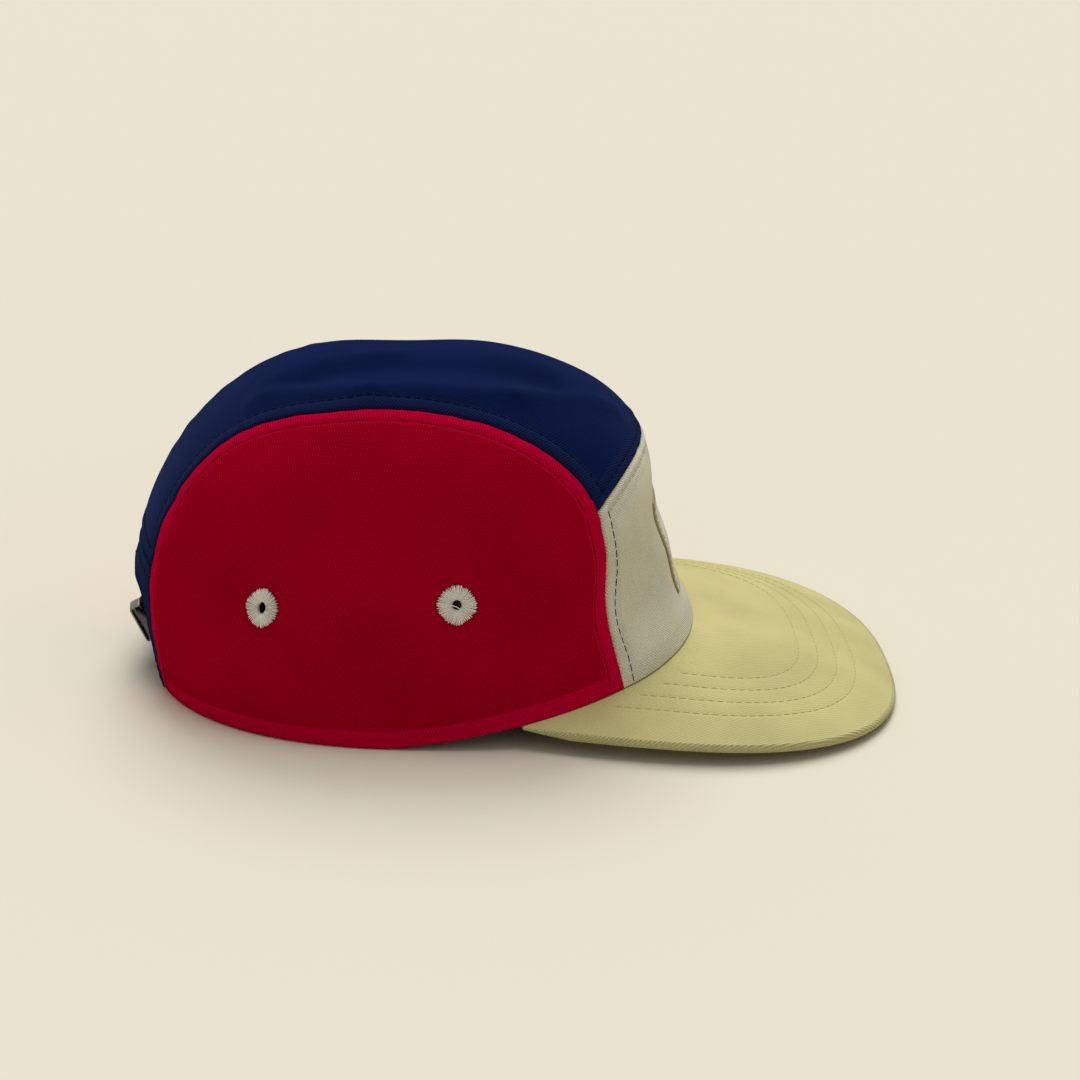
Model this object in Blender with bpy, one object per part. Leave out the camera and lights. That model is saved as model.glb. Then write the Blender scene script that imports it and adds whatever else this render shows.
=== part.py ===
"""A five-panel cap, lying on its hem and the tip of its peak.

The crown is sewn from a front panel, two side panels, a top panel and a back panel with an arched opening.
A stiff peak is sewn under the front half of the hem, a strap with a slide clasp closes the arch, four
embroidered eyelets air the sides and a plain woven label sits on the front panel.

Metres, +Z up. The peak points to -Y and the wearer's right is -X. The crown is laid out round a place below
its own middle, and in the end everything is moved so that the origin lies below the middle of the cap, on
the surface that it lies on. Forward below means towards -Y.
"""

import math

import bmesh
import bpy
import numpy as np
from mathutils import Matrix, Vector

# Crown
CROWN_FRONT = 0.096
CROWN_BACK = 0.094
CROWN_HEIGHT = 0.1125
CROWN_HALF_WIDTH = 0.079
CROWN_SQUARENESS = 2.4
CLOTH = 0.0015
GAP = 0.0003

# The crown's middle line from the front, over the top, to the back of the hem.
# Columns: forward as a share of CROWN_FRONT, or of CROWN_BACK where it is negative; up as a share of
# CROWN_HEIGHT.
MIDDLE_LINE = (
    (1.055, 0.000),
    (1.001, 0.222),
    (0.928, 0.333),
    (0.888, 0.455),
    (0.837, 0.578),
    (0.814, 0.719),
    (0.747, 0.816),
    (0.572, 0.918),
    (0.289, 0.989),
    (0.000, 0.996),
    (-0.295, 0.986),
    (-0.578, 0.909),
    (-0.777, 0.773),
    (-0.919, 0.600),
    (-0.989, 0.439),
    (-1.000, 0.288),
    (-0.974, 0.144),
    (-0.931, 0.000),
)

# Soft folds of the cloth, the same on both sides.
# Columns: where the fold starts, as shares of CROWN_HALF_WIDTH (out), CROWN_FRONT (forward) and
# CROWN_HEIGHT (up); where it ends, likewise; its half width as a share of CROWN_HEIGHT; how far it stands
# out as a share of CROWN_HEIGHT, negative where it dips.
FOLDS = (
    (0.00, 0.45, 0.98, 0.00, -0.62, 0.92, 0.050, 0.007),
    (0.21, 0.30, 0.97, 0.21, -0.40, 0.96, 0.060, -0.009),
    (0.52, 0.86, 0.44, 0.60, 0.78, 0.36, 0.090, -0.018),
    (0.40, 0.93, 0.30, 0.66, 0.76, 0.22, 0.080, 0.012),
    (0.80, 0.58, 0.30, 0.74, 0.60, 0.46, 0.050, -0.010),
    (0.62, -0.78, 0.30, 0.58, -0.74, 0.52, 0.050, -0.011),
    (0.86, -0.20, 0.62, 0.90, 0.24, 0.58, 0.120, -0.010),
    (0.00, -0.97, 0.29, 0.10, -0.97, 0.29, 0.055, 0.015),
)

# Hem: flat on the surface at the back and sides, and rising forward of HEM_RISE_START to the peak's middle
HEM_RISE = 0.024
HEM_RISE_START = -0.012
HEM_RISE_POWER = 1.25

# Seam between the top and back panels and the side panels.
# Columns: degrees up and back from straight forward; half width of the strip between the two seams as a
# share of CROWN_HALF_WIDTH.
STRIP_SEAM = (
    (53.1, 0.680),
    (62.0, 0.618),
    (70.0, 0.572),
    (80.0, 0.514),
    (92.0, 0.470),
    (105.0, 0.450),
    (116.0, 0.405),
    (126.0, 0.345),
    (137.0, 0.322),
    (150.0, 0.352),
    (163.0, 0.366),
    (180.0, 0.354),
)
FRONT_CORNER_ANGLE = 53.1
FRONT_SEAM_ANGLE = 48.3
FRONT_SEAM_POWER = 1.1
HEM_ANGLE = 180.0

# Seam between the front panel and a side panel, a slightly wavy line from the strip's front corner down to
# the hem, which it meets at a share of CROWN_FRONT.
# Columns: share of the way down; how far it stands forward of a straight line, as a share of CROWN_FRONT.
FRONT_EDGE_FOOT = 0.704
FRONT_EDGE_WAVE = (
    (0.00, 0.000),
    (0.30, 0.006),
    (0.55, -0.014),
    (0.80, -0.008),
    (1.00, 0.000),
)

# Arched opening at the back, with a leg of the back panel on each side and a band of it above
ARCH_HEIGHT = 0.034
ARCH_ROUNDNESS = 2.6
ARCH_LEG = 0.006
ARCH_BAND = 0.0115

# Peak: its length is measured from the crown's front, its flare from the crown's side
PEAK_LENGTH = 0.071
PEAK_FLARE = 0.009
PEAK_THICKNESS = 0.003
PEAK_CORNER_WIDTH = 0.0008
PEAK_CORNER_TAPER = 0.016
PEAK_CORNER_THINNESS = 0.25
PEAK_CORNER_AT = 0.345
PEAK_WIDEST_AT = 0.979
PEAK_TIP_ROUNDNESS = 2.2
PEAK_SIDE_ROUNDNESS = 2.6
PEAK_BACK_POWER = 1.7
PEAK_DROOP_POWER = 2.6
PEAK_CAMBER = 0.0015
PEAK_EDGE_ROUNDING = 0.0007

# Eyelets: two on each side, embroidered round a small hole
EYELET_DIAMETER = 0.0132
EYELET_HOLE = 0.0028
EYELET_NECK_WALL = 0.0011
EYELET_RISE = 0.0008
# Columns: name; forward as a share of CROWN_FRONT, or of CROWN_BACK where it is negative; up as a share of
# CROWN_HEIGHT.
EYELET_PLACES = (
    ("front", 0.101, 0.442),
    ("rear", -0.573, 0.397),
)

# Label on the front panel
LABEL_HALF_WIDTH = 0.0205
LABEL_ABOVE_HEM = 0.0105
LABEL_HEIGHT = 0.0235
LABEL_THICKNESS = 0.0010

# Strap and clasp across the foot of the arch
STRAP_WIDTH = 0.011
STRAP_THICKNESS = 0.0013
STRAP_MIDDLE_HEIGHT = 0.014
STRAP_OVERLAP = 0.0045
STRAP_BULGE = 0.0011
STRAP_LEAN = 0.31
CLASP_LENGTH = 0.0070
CLASP_WALL = 0.0008
CLASP_ROUNDING = 0.0005

# How finely the surfaces are divided
TOP_ROWS = 30
SHOULDER_ROW = TOP_ROWS * 5 // 6
BACK_ROWS = 8
ACROSS = 18
PEAK_ACROSS = 44
PEAK_OUTWARD = 7
ROUND_SIDES = 20

# Colours of the cloths and trims
RED = (0.223, 0.002, 0.009)
NAVY = (0.006, 0.012, 0.052)
CREAM = (0.479, 0.445, 0.332)
YELLOW = (0.603, 0.558, 0.270)
THREAD = (0.480, 0.430, 0.360)
BLACK = (0.004, 0.004, 0.005)
METAL = (0.170, 0.165, 0.125)


def spline(at, knots, values):
    """The curve of even curvature through the values, a natural cubic spline, read at the places asked."""
    knots = np.asarray(knots, float)
    values = np.asarray(values, float)
    step = np.diff(knots)
    slope = np.diff(values) / step
    bend = np.zeros((len(knots), len(knots)))
    pull = np.zeros(len(knots))
    bend[0, 0] = bend[-1, -1] = 1.0
    for i in range(1, len(knots) - 1):
        bend[i, i - 1 : i + 2] = step[i - 1], 2.0 * (step[i - 1] + step[i]), step[i]
        pull[i] = 6.0 * (slope[i] - slope[i - 1])
    second = np.linalg.solve(bend, pull)
    at = np.asarray(at, float)
    i = np.clip(np.searchsorted(knots, at) - 1, 0, len(step) - 1)
    before = at - knots[i]
    after = knots[i + 1] - at
    return (
        (second[i] * after**3 + second[i + 1] * before**3) / (6.0 * step[i])
        + (values[i] / step[i] - second[i] * step[i] / 6.0) * after
        + (values[i + 1] / step[i] - second[i + 1] * step[i] / 6.0) * before
    )


def middle_line_sizes():
    """The middle line's angles up from straight forward and its distances from the origin."""
    share, up = np.array(MIDDLE_LINE).T
    forward = np.where(share > 0.0, share * CROWN_FRONT, share * CROWN_BACK)
    height = up * CROWN_HEIGHT
    return np.arctan2(height, forward), np.hypot(forward, height)


MIDDLE_ANGLES, MIDDLE_REACHES = middle_line_sizes()


def side_angle(points):
    """Each point's angle up from straight forward, seen from the side."""
    angle = np.arctan2(points[..., 2], -points[..., 1])
    return np.where(angle < -math.pi / 2.0, angle + 2.0 * math.pi, angle)


def fold_height(points):
    """How far the soft folds lift the cloth off the even crown, by each point's distance to each fold."""
    at = np.stack([np.abs(points[..., 0]), -points[..., 1], points[..., 2]], axis=-1)
    lift = np.zeros(points.shape[:-1])
    size = np.array([CROWN_HALF_WIDTH, CROWN_FRONT, CROWN_HEIGHT])
    for row in FOLDS:
        start = np.array(row[0:3]) * size
        run = np.array(row[3:6]) * size - start
        along = np.clip(((at - start) @ run) / (run @ run), 0.0, 1.0)
        away = np.linalg.norm(at - start - along[..., None] * run, axis=-1)
        lift += row[7] * CROWN_HEIGHT * np.exp(-((away / (row[6] * CROWN_HEIGHT)) ** 2))
    return lift


def even_crown_share(points):
    """Distance from the origin as a share of the distance to the even crown: 1 on its outer face."""
    side = np.abs(points[..., 0]) / CROWN_HALF_WIDTH
    middle = np.hypot(points[..., 1], points[..., 2])
    middle = middle / spline(side_angle(points), MIDDLE_ANGLES, MIDDLE_REACHES)
    return (side**CROWN_SQUARENESS + middle**CROWN_SQUARENESS) ** (1.0 / CROWN_SQUARENESS)


def crown_share(points):
    """The same for the folded crown."""
    share = even_crown_share(points)
    reach = np.linalg.norm(points, axis=-1) / share
    return share / (1.0 + fold_height(points / share[..., None]) / reach)


def push_out(points):
    """Points moved straight away from the origin onto the crown's outer face."""
    return points / crown_share(points)[..., None]


def crown_normal(points):
    """Directions out of the crown, from the slope of crown_share."""
    step = CLOTH / 10.0
    slope = np.zeros(points.shape)
    for axis in range(3):
        offset = np.zeros(3)
        offset[axis] = step
        slope[..., axis] = crown_share(points + offset) - crown_share(points - offset)
    return slope / np.linalg.norm(slope, axis=-1, keepdims=True)


def place(across, forward, up):
    """Points from how far across, forward and up they are, each a number or an array."""
    across, forward, up = np.broadcast_arrays(across, forward, up)
    return np.stack([across, -forward, up], axis=-1)


def crown_at(angle, across):
    """Points of the even crown at an angle up from straight forward and a distance to the side."""
    left = 1.0 - (np.abs(across) / CROWN_HALF_WIDTH) ** CROWN_SQUARENESS
    reach = spline(angle, MIDDLE_ANGLES, MIDDLE_REACHES) * left ** (1.0 / CROWN_SQUARENESS)
    return place(across, reach * np.cos(angle), reach * np.sin(angle))


def side_wall(forward, up, side):
    """Points of the even crown's side, from how far forward and how high they are."""
    point = place(0.0, forward, up)
    left = 1.0 - even_crown_share(point) ** CROWN_SQUARENESS
    point[..., 0] = side * CROWN_HALF_WIDTH * left ** (1.0 / CROWN_SQUARENESS)
    return point


def first_outside(point_at, shape):
    """Points of a line out of the crown where it leaves the crown, found by halving."""
    near = np.zeros(shape)
    far = near + 1.5 * (CROWN_FRONT + CROWN_BACK)
    for _ in range(50):
        middle = (near + far) / 2.0
        outside = crown_share(point_at(middle)) > 1.0
        far = np.where(outside, middle, far)
        near = np.where(outside, near, middle)
    return point_at(near)


def end_wall(across, up, way):
    """Points of the crown's front (way 1) or back (way -1), from their place across and their height."""
    return first_outside(lambda reach: place(across, way * reach, up), np.broadcast(across, up).shape)


def hem_height(forward):
    """The hem's height: zero behind HEM_RISE_START, then rising to HEM_RISE at the front."""
    way = np.clip((forward - HEM_RISE_START) / (CROWN_FRONT - HEM_RISE_START), 0.0, None)
    return HEM_RISE * way**HEM_RISE_POWER


def hem(plan_angle):
    """Points of the hem at angles from straight forward, seen from above, positive to the wearer's left."""

    def out_to(reach):
        forward = reach * np.cos(plan_angle)
        return place(reach * np.sin(plan_angle), forward, hem_height(forward))

    return first_outside(out_to, plan_angle.shape)


def hem_between(start, end, count):
    """Evenly spaced points of the hem between two of its points."""
    angles = [math.atan2(p[0], -p[1]) for p in (start, end)]
    return even(hem(np.linspace(*angles, 30 * count)), count)


def even(line, count):
    """A line's points, read again at even distances along it."""
    length = np.concatenate([[0.0], np.cumsum(np.linalg.norm(np.diff(line, axis=0), axis=1))])
    at = np.linspace(0.0, length[-1], count)
    return np.stack([np.interp(at, length, line[:, axis]) for axis in range(3)], axis=-1)


def strip_half_width(angle):
    """Half width of the top and back panels at an angle up from straight forward."""
    degrees, share = np.array(STRIP_SEAM).T
    return spline(angle, np.radians(degrees), share * CROWN_HALF_WIDTH)


def cross_seam_angle():
    """Angle of the seam between the top and back panels, a band's height above the arched opening."""
    back = end_wall(0.0, ARCH_HEIGHT + ARCH_BAND, -1)
    return float(side_angle(back))


def seam_angles():
    """Angles of the rows of the strip's seam, from the front corner to the hem."""
    top = np.linspace(math.radians(FRONT_CORNER_ANGLE), cross_seam_angle(), TOP_ROWS + 1)
    back = np.linspace(cross_seam_angle(), math.radians(HEM_ANGLE), BACK_ROWS + 1)
    return np.concatenate([top, back[1:]])


def strip_seam(side):
    """The seam's points on one side, from the front corner to the hem."""
    angle = seam_angles()
    return crown_at(angle, side * strip_half_width(angle))


def front_seam_angle(share):
    """Angle of the seam between the front and top panels at a share of the way from middle to corner."""
    slant = FRONT_CORNER_ANGLE - FRONT_SEAM_ANGLE
    return np.radians(FRONT_SEAM_ANGLE + slant * np.abs(share) ** FRONT_SEAM_POWER)


def front_seam():
    """That seam's points, from the wearer's right to the left."""
    share = np.linspace(-1.0, 1.0, ACROSS + 1)
    corner = strip_half_width(np.radians(FRONT_CORNER_ANGLE))
    return crown_at(front_seam_angle(share), share * corner)


def side_rows():
    """How many steps a side panel has from its hem to its upper edge."""
    return BACK_ROWS + TOP_ROWS - SHOULDER_ROW


def front_edge(side):
    """The seam between the front panel and a side panel, from the hem up to the strip's corner."""
    top = strip_seam(side)[0]
    foot_forward = FRONT_EDGE_FOOT * CROWN_FRONT
    foot = side_wall(foot_forward, hem_height(foot_forward), side)
    down = np.linspace(1.0, 0.0, side_rows() + 1)
    share, bow = np.array(FRONT_EDGE_WAVE).T
    forward = -top[1] + down * (top[1] - foot[1]) + CROWN_FRONT * spline(down, share, bow)
    up = top[2] + down * (foot[2] - top[2])
    return side_wall(forward, up, side)


def patch(bottom, top, left, right):
    """A grid of points between four edges. Bottom and top run left to right, left and right run up."""
    u = np.linspace(0.0, 1.0, len(bottom))[:, None, None]
    v = np.linspace(0.0, 1.0, len(left))[None, :, None]
    between = (1.0 - v) * bottom[:, None] + v * top[:, None] + (1.0 - u) * left[None] + u * right[None]
    corners = (1.0 - u) * ((1.0 - v) * bottom[0] + v * top[0]) + u * ((1.0 - v) * bottom[-1] + v * top[-1])
    return between - corners


def draw_in(grid, edges):
    """A grid whose named edges are drawn in by half a gap, so that neighbours stay a gap apart."""
    grid = grid.copy()
    inner = {"left": (0, 1, 0), "right": (-1, -2, 0), "bottom": (0, 1, 1), "top": (-1, -2, 1)}
    for edge in edges:
        outer_row, inner_row, axis = inner[edge]
        rows = np.moveaxis(grid, axis, 0)
        way = rows[inner_row] - rows[outer_row]
        rows[outer_row] += way * (GAP / 2.0 / np.linalg.norm(way, axis=-1, keepdims=True))
    return grid


def closed_mesh(name, outer, inner):
    """A mesh closed round two grids of the same size, its faces pointing out."""
    rows, columns = outer.shape[:2]
    points = np.concatenate([outer.reshape(-1, 3), inner.reshape(-1, 3)])
    index = np.arange(2 * rows * columns).reshape(2, rows, columns)
    faces = []
    for layer, flip in ((0, False), (1, True)):
        for i in range(rows - 1):
            for j in range(columns - 1):
                p = index[layer]
                quad = [p[i, j], p[i + 1, j], p[i + 1, j + 1], p[i, j + 1]]
                faces.append(quad[::-1] if flip else quad)
    rim = [index[:, i, 0] for i in range(rows)]
    rim += [index[:, -1, j] for j in range(1, columns)]
    rim += [index[:, i, -1] for i in range(rows - 2, -1, -1)]
    rim += [index[:, 0, j] for j in range(columns - 2, 0, -1)]
    for here, there in zip(rim, rim[1:] + rim[:1]):
        faces.append([here[0], here[1], there[1], there[0]])
    return facing_out(name, points, faces)


def facing_out(name, points, faces):
    """A mesh of these faces, turned round if they enclose a negative volume."""
    volume = 0.0
    for face in faces:
        for i in range(1, len(face) - 1):
            a, b, c = points[face[0]], points[face[i]], points[face[i + 1]]
            volume += np.dot(a, np.cross(b, c))
    if volume < 0.0:
        faces = [face[::-1] for face in faces]
    mesh = bpy.data.meshes.new(name)
    mesh.from_pydata([tuple(p) for p in points], [], [[int(i) for i in face] for face in faces])
    mesh.update()
    return mesh


def material(name, colour, roughness, metallic=0.0):
    """A Principled material with a colour, a roughness and a metallic value."""
    made = bpy.data.materials.new(name)
    made.use_nodes = True
    shader = made.node_tree.nodes["Principled BSDF"]
    shader.inputs["Base Color"].default_value = (*colour, 1.0)
    shader.inputs["Roughness"].default_value = roughness
    shader.inputs["Metallic"].default_value = metallic
    return made


def add_object(name, mesh, look):
    """The mesh as a smooth-shaded object in the scene."""
    if not mesh.materials:
        mesh.materials.append(look)
        mesh.shade_smooth()
        mesh.set_sharp_from_angle(angle=math.radians(40.0))
    made = bpy.data.objects.new(name, mesh)
    bpy.context.scene.collection.objects.link(made)
    return made


def cloth_panel(name, grid, edges, look):
    """One panel of the crown: its outer face, drawn in at its seams, and an inner face one cloth behind.

    The bottom row of the grid is the hem, whose underside is level.
    """
    outer = draw_in(push_out(grid), edges)
    if "bottom" not in edges:
        outer[:, 0, 2] = hem_height(-outer[:, 0, 1])
    inner = outer - CLOTH * crown_normal(outer)
    if "bottom" not in edges:
        inner[:, 0, 2] = outer[:, 0, 2]
    return add_object(name, closed_mesh(name, outer, inner), look)


def side_panel(name, side, look):
    """A side panel, from the hem up to the strip's seam and from the back seam to the front panel."""
    seam = strip_seam(side)
    top = seam[: SHOULDER_ROW + 1][::-1]
    left = seam[SHOULDER_ROW:][::-1]
    right = front_edge(side)
    bottom = hem_between(left[0], right[0], SHOULDER_ROW + 1)
    return cloth_panel(name, patch(bottom, top, left, right), ("left", "right", "top"), look)


def front_panel(look):
    """The front panel, from the peak up to the front seam."""
    left = front_edge(-1)
    right = front_edge(1)
    bottom = hem_between(left[0], right[0], ACROSS + 1)
    grid = patch(bottom, front_seam(), left, right)
    return cloth_panel("front_panel", grid, ("left", "right", "top"), look)


def top_panel(look):
    """The top panel, a strip from the front seam over the crown to the cross seam."""
    share = np.linspace(-1.0, 1.0, ACROSS + 1)[:, None]
    way = np.linspace(0.0, 1.0, TOP_ROWS + 1)[None, :]
    start = front_seam_angle(share)
    angle = start + way * (cross_seam_angle() - start)
    grid = crown_at(angle, share * strip_half_width(angle))
    return cloth_panel("top_panel", grid, ("left", "right", "bottom", "top"), look)


def arch_half_width():
    """Half width of the arched opening at the hem, between the back panel's two legs."""
    return float(strip_half_width(math.radians(HEM_ANGLE))) - ARCH_LEG


def arch_line(share):
    """Points of the arch's edge, from its foot on the wearer's right, over the top, to the other foot."""
    turn = math.pi * share
    across = -arch_half_width() * np.sign(np.cos(turn)) * np.abs(np.cos(turn)) ** (2.0 / ARCH_ROUNDNESS)
    up = ARCH_HEIGHT * np.sin(turn).clip(0.0) ** (2.0 / ARCH_ROUNDNESS)
    return end_wall(across, up, -1)


def back_panel(look):
    """The back panel, a band between the arched opening and the seams round it."""
    right = strip_seam(-1)[TOP_ROWS:][::-1]
    left = strip_seam(1)[TOP_ROWS:]
    share = np.linspace(-1.0, 1.0, ACROSS + 1)
    cross = crown_at(cross_seam_angle(), share * strip_half_width(cross_seam_angle()))
    outline = np.concatenate([right, cross[1:-1], left])
    arch = even(arch_line(np.linspace(0.0, 1.0, 30 * len(outline))), len(outline))
    way = np.linspace(0.0, 1.0, 5)[None, :, None]
    grid = outline[:, None] + way * (arch - outline)[:, None]
    outer = draw_in(push_out(grid), ("bottom",))
    inner = outer - CLOTH * crown_normal(outer)
    outer[[0, -1], :, 2] = 0.0
    inner[[0, -1], :, 2] = 0.0
    return add_object("back_panel", closed_mesh("back_panel", outer, inner), look)


def peak_corner(side):
    """Where the peak's edge leaves the crown's outer face."""
    forward = PEAK_CORNER_AT * CROWN_FRONT
    return side_wall(forward, hem_height(forward), side)


def peak_outline(count):
    """Points of the peak's edge, from the wearer's right corner to the tip, evenly spaced."""
    corner = peak_corner(1)
    corner_forward = -corner[1]
    corner_half_width = corner[0] + PEAK_CORNER_WIDTH
    widest = PEAK_WIDEST_AT * CROWN_FRONT
    half_width = CROWN_HALF_WIDTH + PEAK_FLARE
    tip = CROWN_FRONT + PEAK_LENGTH
    back = np.linspace(0.0, 1.0, 40 * count)
    side_forward = corner_forward + back * (widest - corner_forward)
    side_across = half_width - (half_width - corner_half_width) * (1.0 - back) ** PEAK_BACK_POWER
    turn = np.linspace(0.0, math.pi / 2.0, 40 * count)[1:]
    front_forward = widest + (tip - widest) * np.sin(turn) ** (2.0 / PEAK_TIP_ROUNDNESS)
    front_across = half_width * np.cos(turn).clip(0.0) ** (2.0 / PEAK_SIDE_ROUNDNESS)
    forward = np.concatenate([side_forward, front_forward])
    across = np.concatenate([side_across, front_across])
    way = (forward - corner_forward) / (tip - corner_forward)
    drop = (corner[2] - GAP - PEAK_THICKNESS) * way**PEAK_DROOP_POWER
    return even(place(-across, forward, corner[2] - GAP - drop), count)


def peak_lines():
    """Three lines from corner to corner: the wall's inner face, its outer face and the peak's edge."""
    half = PEAK_ACROSS // 2 + 1
    root = hem_between(peak_corner(-1), end_wall(0.0, HEM_RISE, 1), half)
    edge = peak_outline(half)
    root = np.concatenate([root, root[-2::-1] * [-1.0, 1.0, 1.0]])
    edge = np.concatenate([edge, edge[-2::-1] * [-1.0, 1.0, 1.0]])
    root = push_out(root)
    root[:, 2] = hem_height(-root[:, 1]) - GAP
    inward = crown_normal(root) * [1.0, 1.0, 0.0]
    inward /= np.linalg.norm(inward, axis=-1, keepdims=True)
    return root - CLOTH * inward, root, edge


def peak(look):
    """The peak, a stiff board covered in cloth: sections from the wall to the edge, joined side by side."""
    inner, root, edge = peak_lines()
    reach = np.linalg.norm(edge - root, axis=-1, keepdims=True)
    taper = (np.abs(edge[:, 1:2] - edge[0, 1]) / PEAK_CORNER_TAPER).clip(0.0, 1.0)
    down = PEAK_THICKNESS * (PEAK_CORNER_THINNESS + (1.0 - PEAK_CORNER_THINNESS) * taper) * [0.0, 0.0, 1.0]
    rounding = down * PEAK_EDGE_ROUNDING / PEAK_THICKNESS
    inset = edge + (root - edge) * (PEAK_EDGE_ROUNDING / reach).clip(0.0, 0.5)
    upper = [inner]
    for share in np.linspace(0.0, 1.0, PEAK_OUTWARD + 1):
        camber = 4.0 * share * (1.0 - share) * PEAK_CAMBER * (reach / reach.max()).clip(0.0, 1.0)
        upper.append(root + share * (inset - root) + camber * [0.0, 0.0, 1.0])
    lower = [line - down for line in upper]
    ring = upper + [edge - rounding, edge - down + rounding] + lower[::-1]
    sections = np.stack(ring, axis=1)
    count, size = sections.shape[:2]
    points = sections.reshape(-1, 3)
    faces = []
    for i in range(count - 1):
        for j in range(size):
            after = (j + 1) % size
            faces.append([i * size + j, (i + 1) * size + j, (i + 1) * size + after, i * size + after])
    for start, turn in ((0, 1), ((count - 1) * size, -1)):
        for j in range(size // 2 - 1):
            quad = [start + j, start + j + 1, start + size - 2 - j, start + size - 1 - j]
            faces.append(quad[::turn])
    return add_object("peak", facing_out("peak", points, faces), look)


def ring_mesh(name, rings):
    """A mesh joined from ring to ring and from the last ring back to the first."""
    count, size = rings.shape[:2]
    faces = []
    for i in range(count):
        here, there = i * size, (i + 1) % count * size
        for j in range(size):
            after = (j + 1) % size
            faces.append([here + j, there + j, there + after, here + after])
    return facing_out(name, rings.reshape(-1, 3), faces)


def turned_mesh(name, profile, sides):
    """A ring turned about Z from a closed profile of radius and height."""
    radius, height = np.array(profile).T
    turn = np.linspace(0.0, 2.0 * math.pi, sides, endpoint=False)[:, None]
    return ring_mesh(name, place(radius * np.cos(turn), radius * np.sin(turn), height))


def eyelet_profile():
    """An eyelet's section: a low padded ring outside, a neck through the cloth and a flat ring inside.

    The rings clear the cloth, which curves away below them, by the gap.
    """
    outer = EYELET_DIAMETER / 2.0
    hole = EYELET_HOLE / 2.0
    neck = hole + EYELET_NECK_WALL
    above = GAP
    below = -CLOTH - 2.0 * GAP
    return (
        (hole, below - EYELET_RISE * 0.4),
        (hole, above + EYELET_RISE * 0.5),
        (neck, above + EYELET_RISE),
        (outer * 0.85, above + EYELET_RISE * 0.8),
        (outer, above),
        (neck, above),
        (neck, below),
        (outer * 0.9, below),
        (outer * 0.8, below - EYELET_RISE * 0.6),
    )


def standing_out(point):
    """The turn that points local Z out of the crown at a point, with local X level."""
    out = Vector(crown_normal(point))
    level = Vector((0.0, 0.0, 1.0)).cross(out).normalized()
    up = out.cross(level)
    return Matrix((level, up, out)).transposed().to_euler()


def bore_cutter(name, sides):
    """A closed cylinder that cuts an eyelet's hole through the cloth."""
    cut = bmesh.new()
    radius = EYELET_HOLE / 2.0 + EYELET_NECK_WALL + GAP
    depth = 8.0 * CLOTH
    bmesh.ops.create_cone(cut, cap_ends=True, segments=sides, radius1=radius, radius2=radius, depth=depth)
    mesh = bpy.data.meshes.new(name)
    cut.to_mesh(mesh)
    cut.free()
    return mesh


def eyelets(panels, look):
    """Two eyelets on each side, each in a hole cut through its side panel."""
    mesh = turned_mesh("eyelet", eyelet_profile(), ROUND_SIDES)
    cutter_mesh = bore_cutter("eyelet_cutter", ROUND_SIDES)
    for word, side in (("right", -1), ("left", 1)):
        for name, forward_share, up_share in EYELET_PLACES:
            forward = forward_share * (CROWN_FRONT if forward_share > 0.0 else CROWN_BACK)
            point = push_out(side_wall(forward, up_share * CROWN_HEIGHT, side))
            made = add_object(f"eyelet_{word}_{name}", mesh, look)
            cutter = bpy.data.objects.new(f"eyelet_cutter_{word}_{name}", cutter_mesh)
            bpy.context.scene.collection.objects.link(cutter)
            cutter.hide_render = True
            cutter.display_type = "WIRE"
            for thing in (made, cutter):
                thing.location = point
                thing.rotation_euler = standing_out(point)
            hole = panels[side].modifiers.new(f"{name}_eyelet_hole", "BOOLEAN")
            hole.object = cutter


def front_label(look):
    """A plain woven label that follows the front panel's curve."""
    across = np.linspace(-LABEL_HALF_WIDTH, LABEL_HALF_WIDTH, 11)[:, None]
    bottom = HEM_RISE + LABEL_ABOVE_HEM
    up = np.linspace(bottom, bottom + LABEL_HEIGHT, 8)[None, :]
    face = end_wall(across, up, 1)
    out = crown_normal(face)
    mesh = closed_mesh("front_label", face + (GAP + LABEL_THICKNESS) * out, face + GAP * out)
    return add_object("front_label", mesh, look)


def strap_middle(across, up):
    """Points and outward directions of the strap's middle face.

    The strap lies behind the legs of the arch and stands a little proud of the crown between them, where its
    upper edge leans out.
    """
    behind = -(CLOTH + GAP + STRAP_THICKNESS / 2.0)
    free = arch_half_width() - 2.0 * STRAP_THICKNESS
    way = np.clip(1.0 - np.abs(across) / free, 0.0, 1.0)
    proud = STRAP_BULGE + STRAP_LEAN * (up - STRAP_MIDDLE_HEIGHT)
    stand_off = behind + (proud - behind) * (3.0 * way**2 - 2.0 * way**3)
    face = end_wall(across, up, -1)
    out = crown_normal(face)
    return face + stand_off[..., None] * out, out


def back_strap(look):
    """A strap from one leg of the arch to the other, sewn behind both."""
    end = arch_half_width() + STRAP_OVERLAP
    half = STRAP_WIDTH / 2.0
    across = np.linspace(-end, end, 31)[:, None]
    up = np.linspace(STRAP_MIDDLE_HEIGHT - half, STRAP_MIDDLE_HEIGHT + half, 4)[None, :]
    middle, out = strap_middle(across, up)
    half_cloth = STRAP_THICKNESS / 2.0 * out
    return add_object("back_strap", closed_mesh("back_strap", middle + half_cloth, middle - half_cloth), look)


def rounded_rectangle(half_wide, half_high, rounding):
    """The eight corners of a rectangle whose own corners are cut off."""
    wide = np.array([1, 1, -1, -1, -1, -1, 1, 1]) * half_wide
    high = np.array([1, 1, 1, 1, -1, -1, -1, -1]) * half_high
    cut_wide = np.array([0, -1, 1, 0, 0, 1, -1, 0]) * rounding
    cut_high = np.array([-1, 0, 0, -1, 1, 0, 0, 1]) * rounding
    return wide + cut_wide, high + cut_high


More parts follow.
